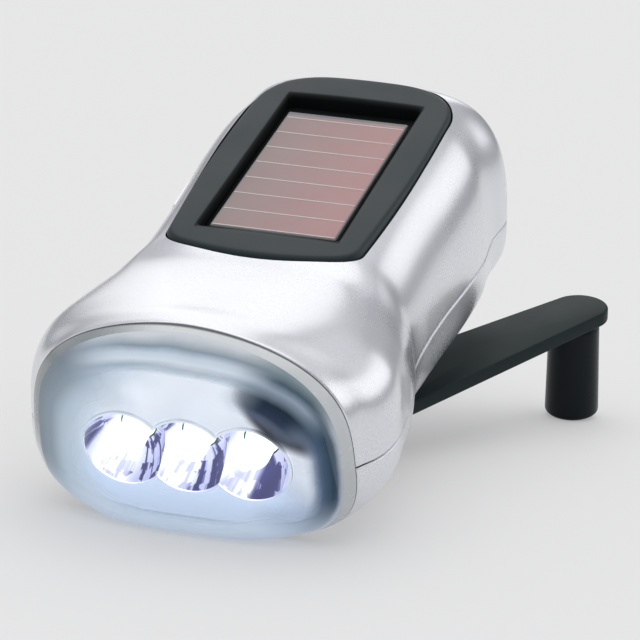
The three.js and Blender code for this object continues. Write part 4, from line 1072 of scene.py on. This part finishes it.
def knob(sides=96):
    bore, top, foot, rim = (KNOB[key] for key in ("bore", "top", "foot", "rim"))
    slant, hole, recess = KNOB["length"] - 2 * rim, KNOB["head_hole"], KNOB_FOOT + KNOB["recess"]
    profile = [(bore, KNOB_TOP)]
    profile += [(top - inset, KNOB_TOP - drop) for drop, inset in rounded(rim, 8)]
    profile += [(top + (foot - top) * t, KNOB_TOP - rim - slant * t) for t in np.linspace(0, 1, 10)[1:-1]]
    profile += [(foot - inset, KNOB_FOOT + rise) for inset, rise in rounded(rim, 8)]
    profile += [(hole, KNOB_FOOT), (hole, recess), (bore, recess), (bore, KNOB_TOP)]
    grip = turned("grip", profile, KNOB_REACH, 0, sides)
    finish(moved(grip, AT_CRANK), "knob", KNOB_PLASTIC, ["knob_grip"], body="knob")


# ---- Switch on the left flank ----
def flank_strip(low, high, y0, y1, z0, z1, rows=60, columns=10):
    """A strip that follows the left flank, between two offsets of the skin."""
    z = np.linspace(z0, z1, columns)
    rings = []
    for y in np.linspace(y0, y1, rows):
        sheets = []
        for offset in (low, high):
            _, roof, _, (_, top, _, _) = section(np.asarray(y), np.asarray(offset, float))
            angle = pi - np.arcsin(np.clip(z / float(roof), 0, 1) ** (float(top) / 2))
            sheets.append(skin_point(y, angle, offset))
        rings.append(np.vstack([sheets[0], sheets[1][::-1]]))
    return loft("strip", rings)


def switch():
    s, r, ridge = SLIDER, RAIL, RIDGE
    rail = flank_strip(GAP, r["proud"], r["front"], r["rear"], r["low"], r["high"])
    end = s["front"] + s["length"] + s["travel"] + s["play"]
    carve(rail, block((-FAR, s["front"], r["low"] + s["margin"]), (0, end, r["high"] - s["margin"])))
    finish(rail, "rail", PAINT, ["switch_rail"])
    y0, m = s["front"] + GAP, s["margin"] + GAP
    slider = flank_strip(GAP + RUN, s["proud"], y0, y0 + s["length"], r["low"] + m, r["high"] - m)
    first = y0 + (s["length"] - ridge["pitch"] * (ridge["count"] - 1)) / 2
    for i in range(ridge["count"]):
        y, floor = first + ridge["pitch"] * i - ridge["width"] / 2, s["proud"] - ridge["depth"]
        carve(slider, flank_strip(floor, s["proud"] + 1, y, y + ridge["width"], r["low"], r["high"]))
    finish(slider, "slider", SLATE, ["switch_slider"], body="switch")


# ---- Carried-over nodes ----
NODE_FINISHES = {
    "led_board": BOARD, "circuit_board": BOARD, "shaft_bush": BRASS, "crank_gear": ACETAL, "first_gear": ACETAL,
    "second_gear": ACETAL, "rotor": MAGNET, "crank_hub": SLATE,
}


def dress_nodes(weld_m=0.00001, edge_m=0.0003, from_angle=35):
    for name, node in frame["nodes"].items():
        if node.hide_render:
            continue
        node.data.materials.clear()
        node.data.materials.append(NODE_FINISHES.get(name, STEEL))
    hub = frame["nodes"]["crank_hub"]
    weld = hub.modifiers.new("weld", "WELD")
    weld.merge_threshold = weld_m
    edge = hub.modifiers.new("edge", "BEVEL")
    edge.width, edge.segments = edge_m, 2
    edge.limit_method, edge.angle_limit = "ANGLE", radians(from_angle)


# ---- Floor and studio ----
FLOOR_PAPER = (0.82,) * 3
FLOOR_GLOW = (0.86,) * 3
FLOOR_SHARE = 0.36


def floor(size=2.0):
    """Paper that takes shadows and glows a little for the camera and in mirrors."""
    f = Finish("floor_paper")
    rays = (f.node("ShaderNodeLightPath", output=f"Is {kind} Ray") for kind in ("Camera", "Glossy", "Transmission"))
    seen = sum(rays, 0.0).least(1.0)
    pale = f.node("ShaderNodeEmission", {"Color": FLOOR_GLOW, "Strength": 1.0})
    lit = f.node("ShaderNodeBsdfDiffuse", {"Color": FLOOR_PAPER})
    mixed = f.node("ShaderNodeMixShader", {0: seen * FLOOR_SHARE, 1: lit, 2: pale})
    corners = [(-size, -size, 0), (size, -size, 0), (size, size, 0), (-size, size, 0)]
    plane = raw("floor", corners, [(0, 1, 2, 3)])
    plane.data.materials.append(f.done(mixed))


# Soft panels, in degrees: left and right end as bearings from the tail towards the right, foot and top, each with
# its softness, and the strength
SOFT_PANELS = [
    (25, 6, 88, 10, 7, 7, 33, 9, 1.32),
    (-36, 26, 0, 8, 6, 16, 70, 10, 1.3),
    (4, 8, 70, 10, 33, 8, 52, 8, 0.74),
    (-150, 20, -40, 20, 5, 12, 50, 12, 0.72),
    (110, 20, 176, 4, 5, 12, 50, 12, 0.6),
]
# Ceiling: foot, softness, strength. Walls: strength low down and high up, height and softness of the change
CEILING = (50, 14, 1.35)
WALLS = (0.27, 0.45, 16, 14)


def studio():
    world = bpy.data.worlds.new("studio")
    world.use_nodes = True
    t = Tree(world.node_tree)
    t.tree.nodes.clear()
    x, y, z = t.parts(t.node("ShaderNodeTexCoord", output=0))
    degrees = 360 / TURN
    bearing, height = t.maths("ARCTAN2", x, y) * degrees, t.maths("ARCSINE", z) * degrees
    foot, soft, strength = CEILING
    low, high, change, change_soft = WALLS
    walls = t.rise(height, change, change_soft) * (high - low) + low
    light = (t.rise(height, foot, soft) * strength).most(walls)
    for *row, strength in SOFT_PANELS:
        light = light.most(t.between(bearing, *row[:4]) * t.between(height, *row[4:]) * strength)
    tint = t.ramp(t.range(light, 0.35, 1.0), [(0.0, 0.93, 0.95, 1.0), (1.0, 1.0, 1.0, 1.0)])
    shade = t.node("ShaderNodeBackground", {0: tint, 1: light})
    t.node("ShaderNodeOutputWorld", {0: shade})
    bpy.context.scene.world = world


shells()
solar_frame()
solar_cell()
cell_lines()
lens()
reflector()
lamps()
crank_arm()
knob()
switch()
shell_screws()
dress_nodes()
floor()
studio()

bpy.context.scene.view_settings.view_transform = "Standard"
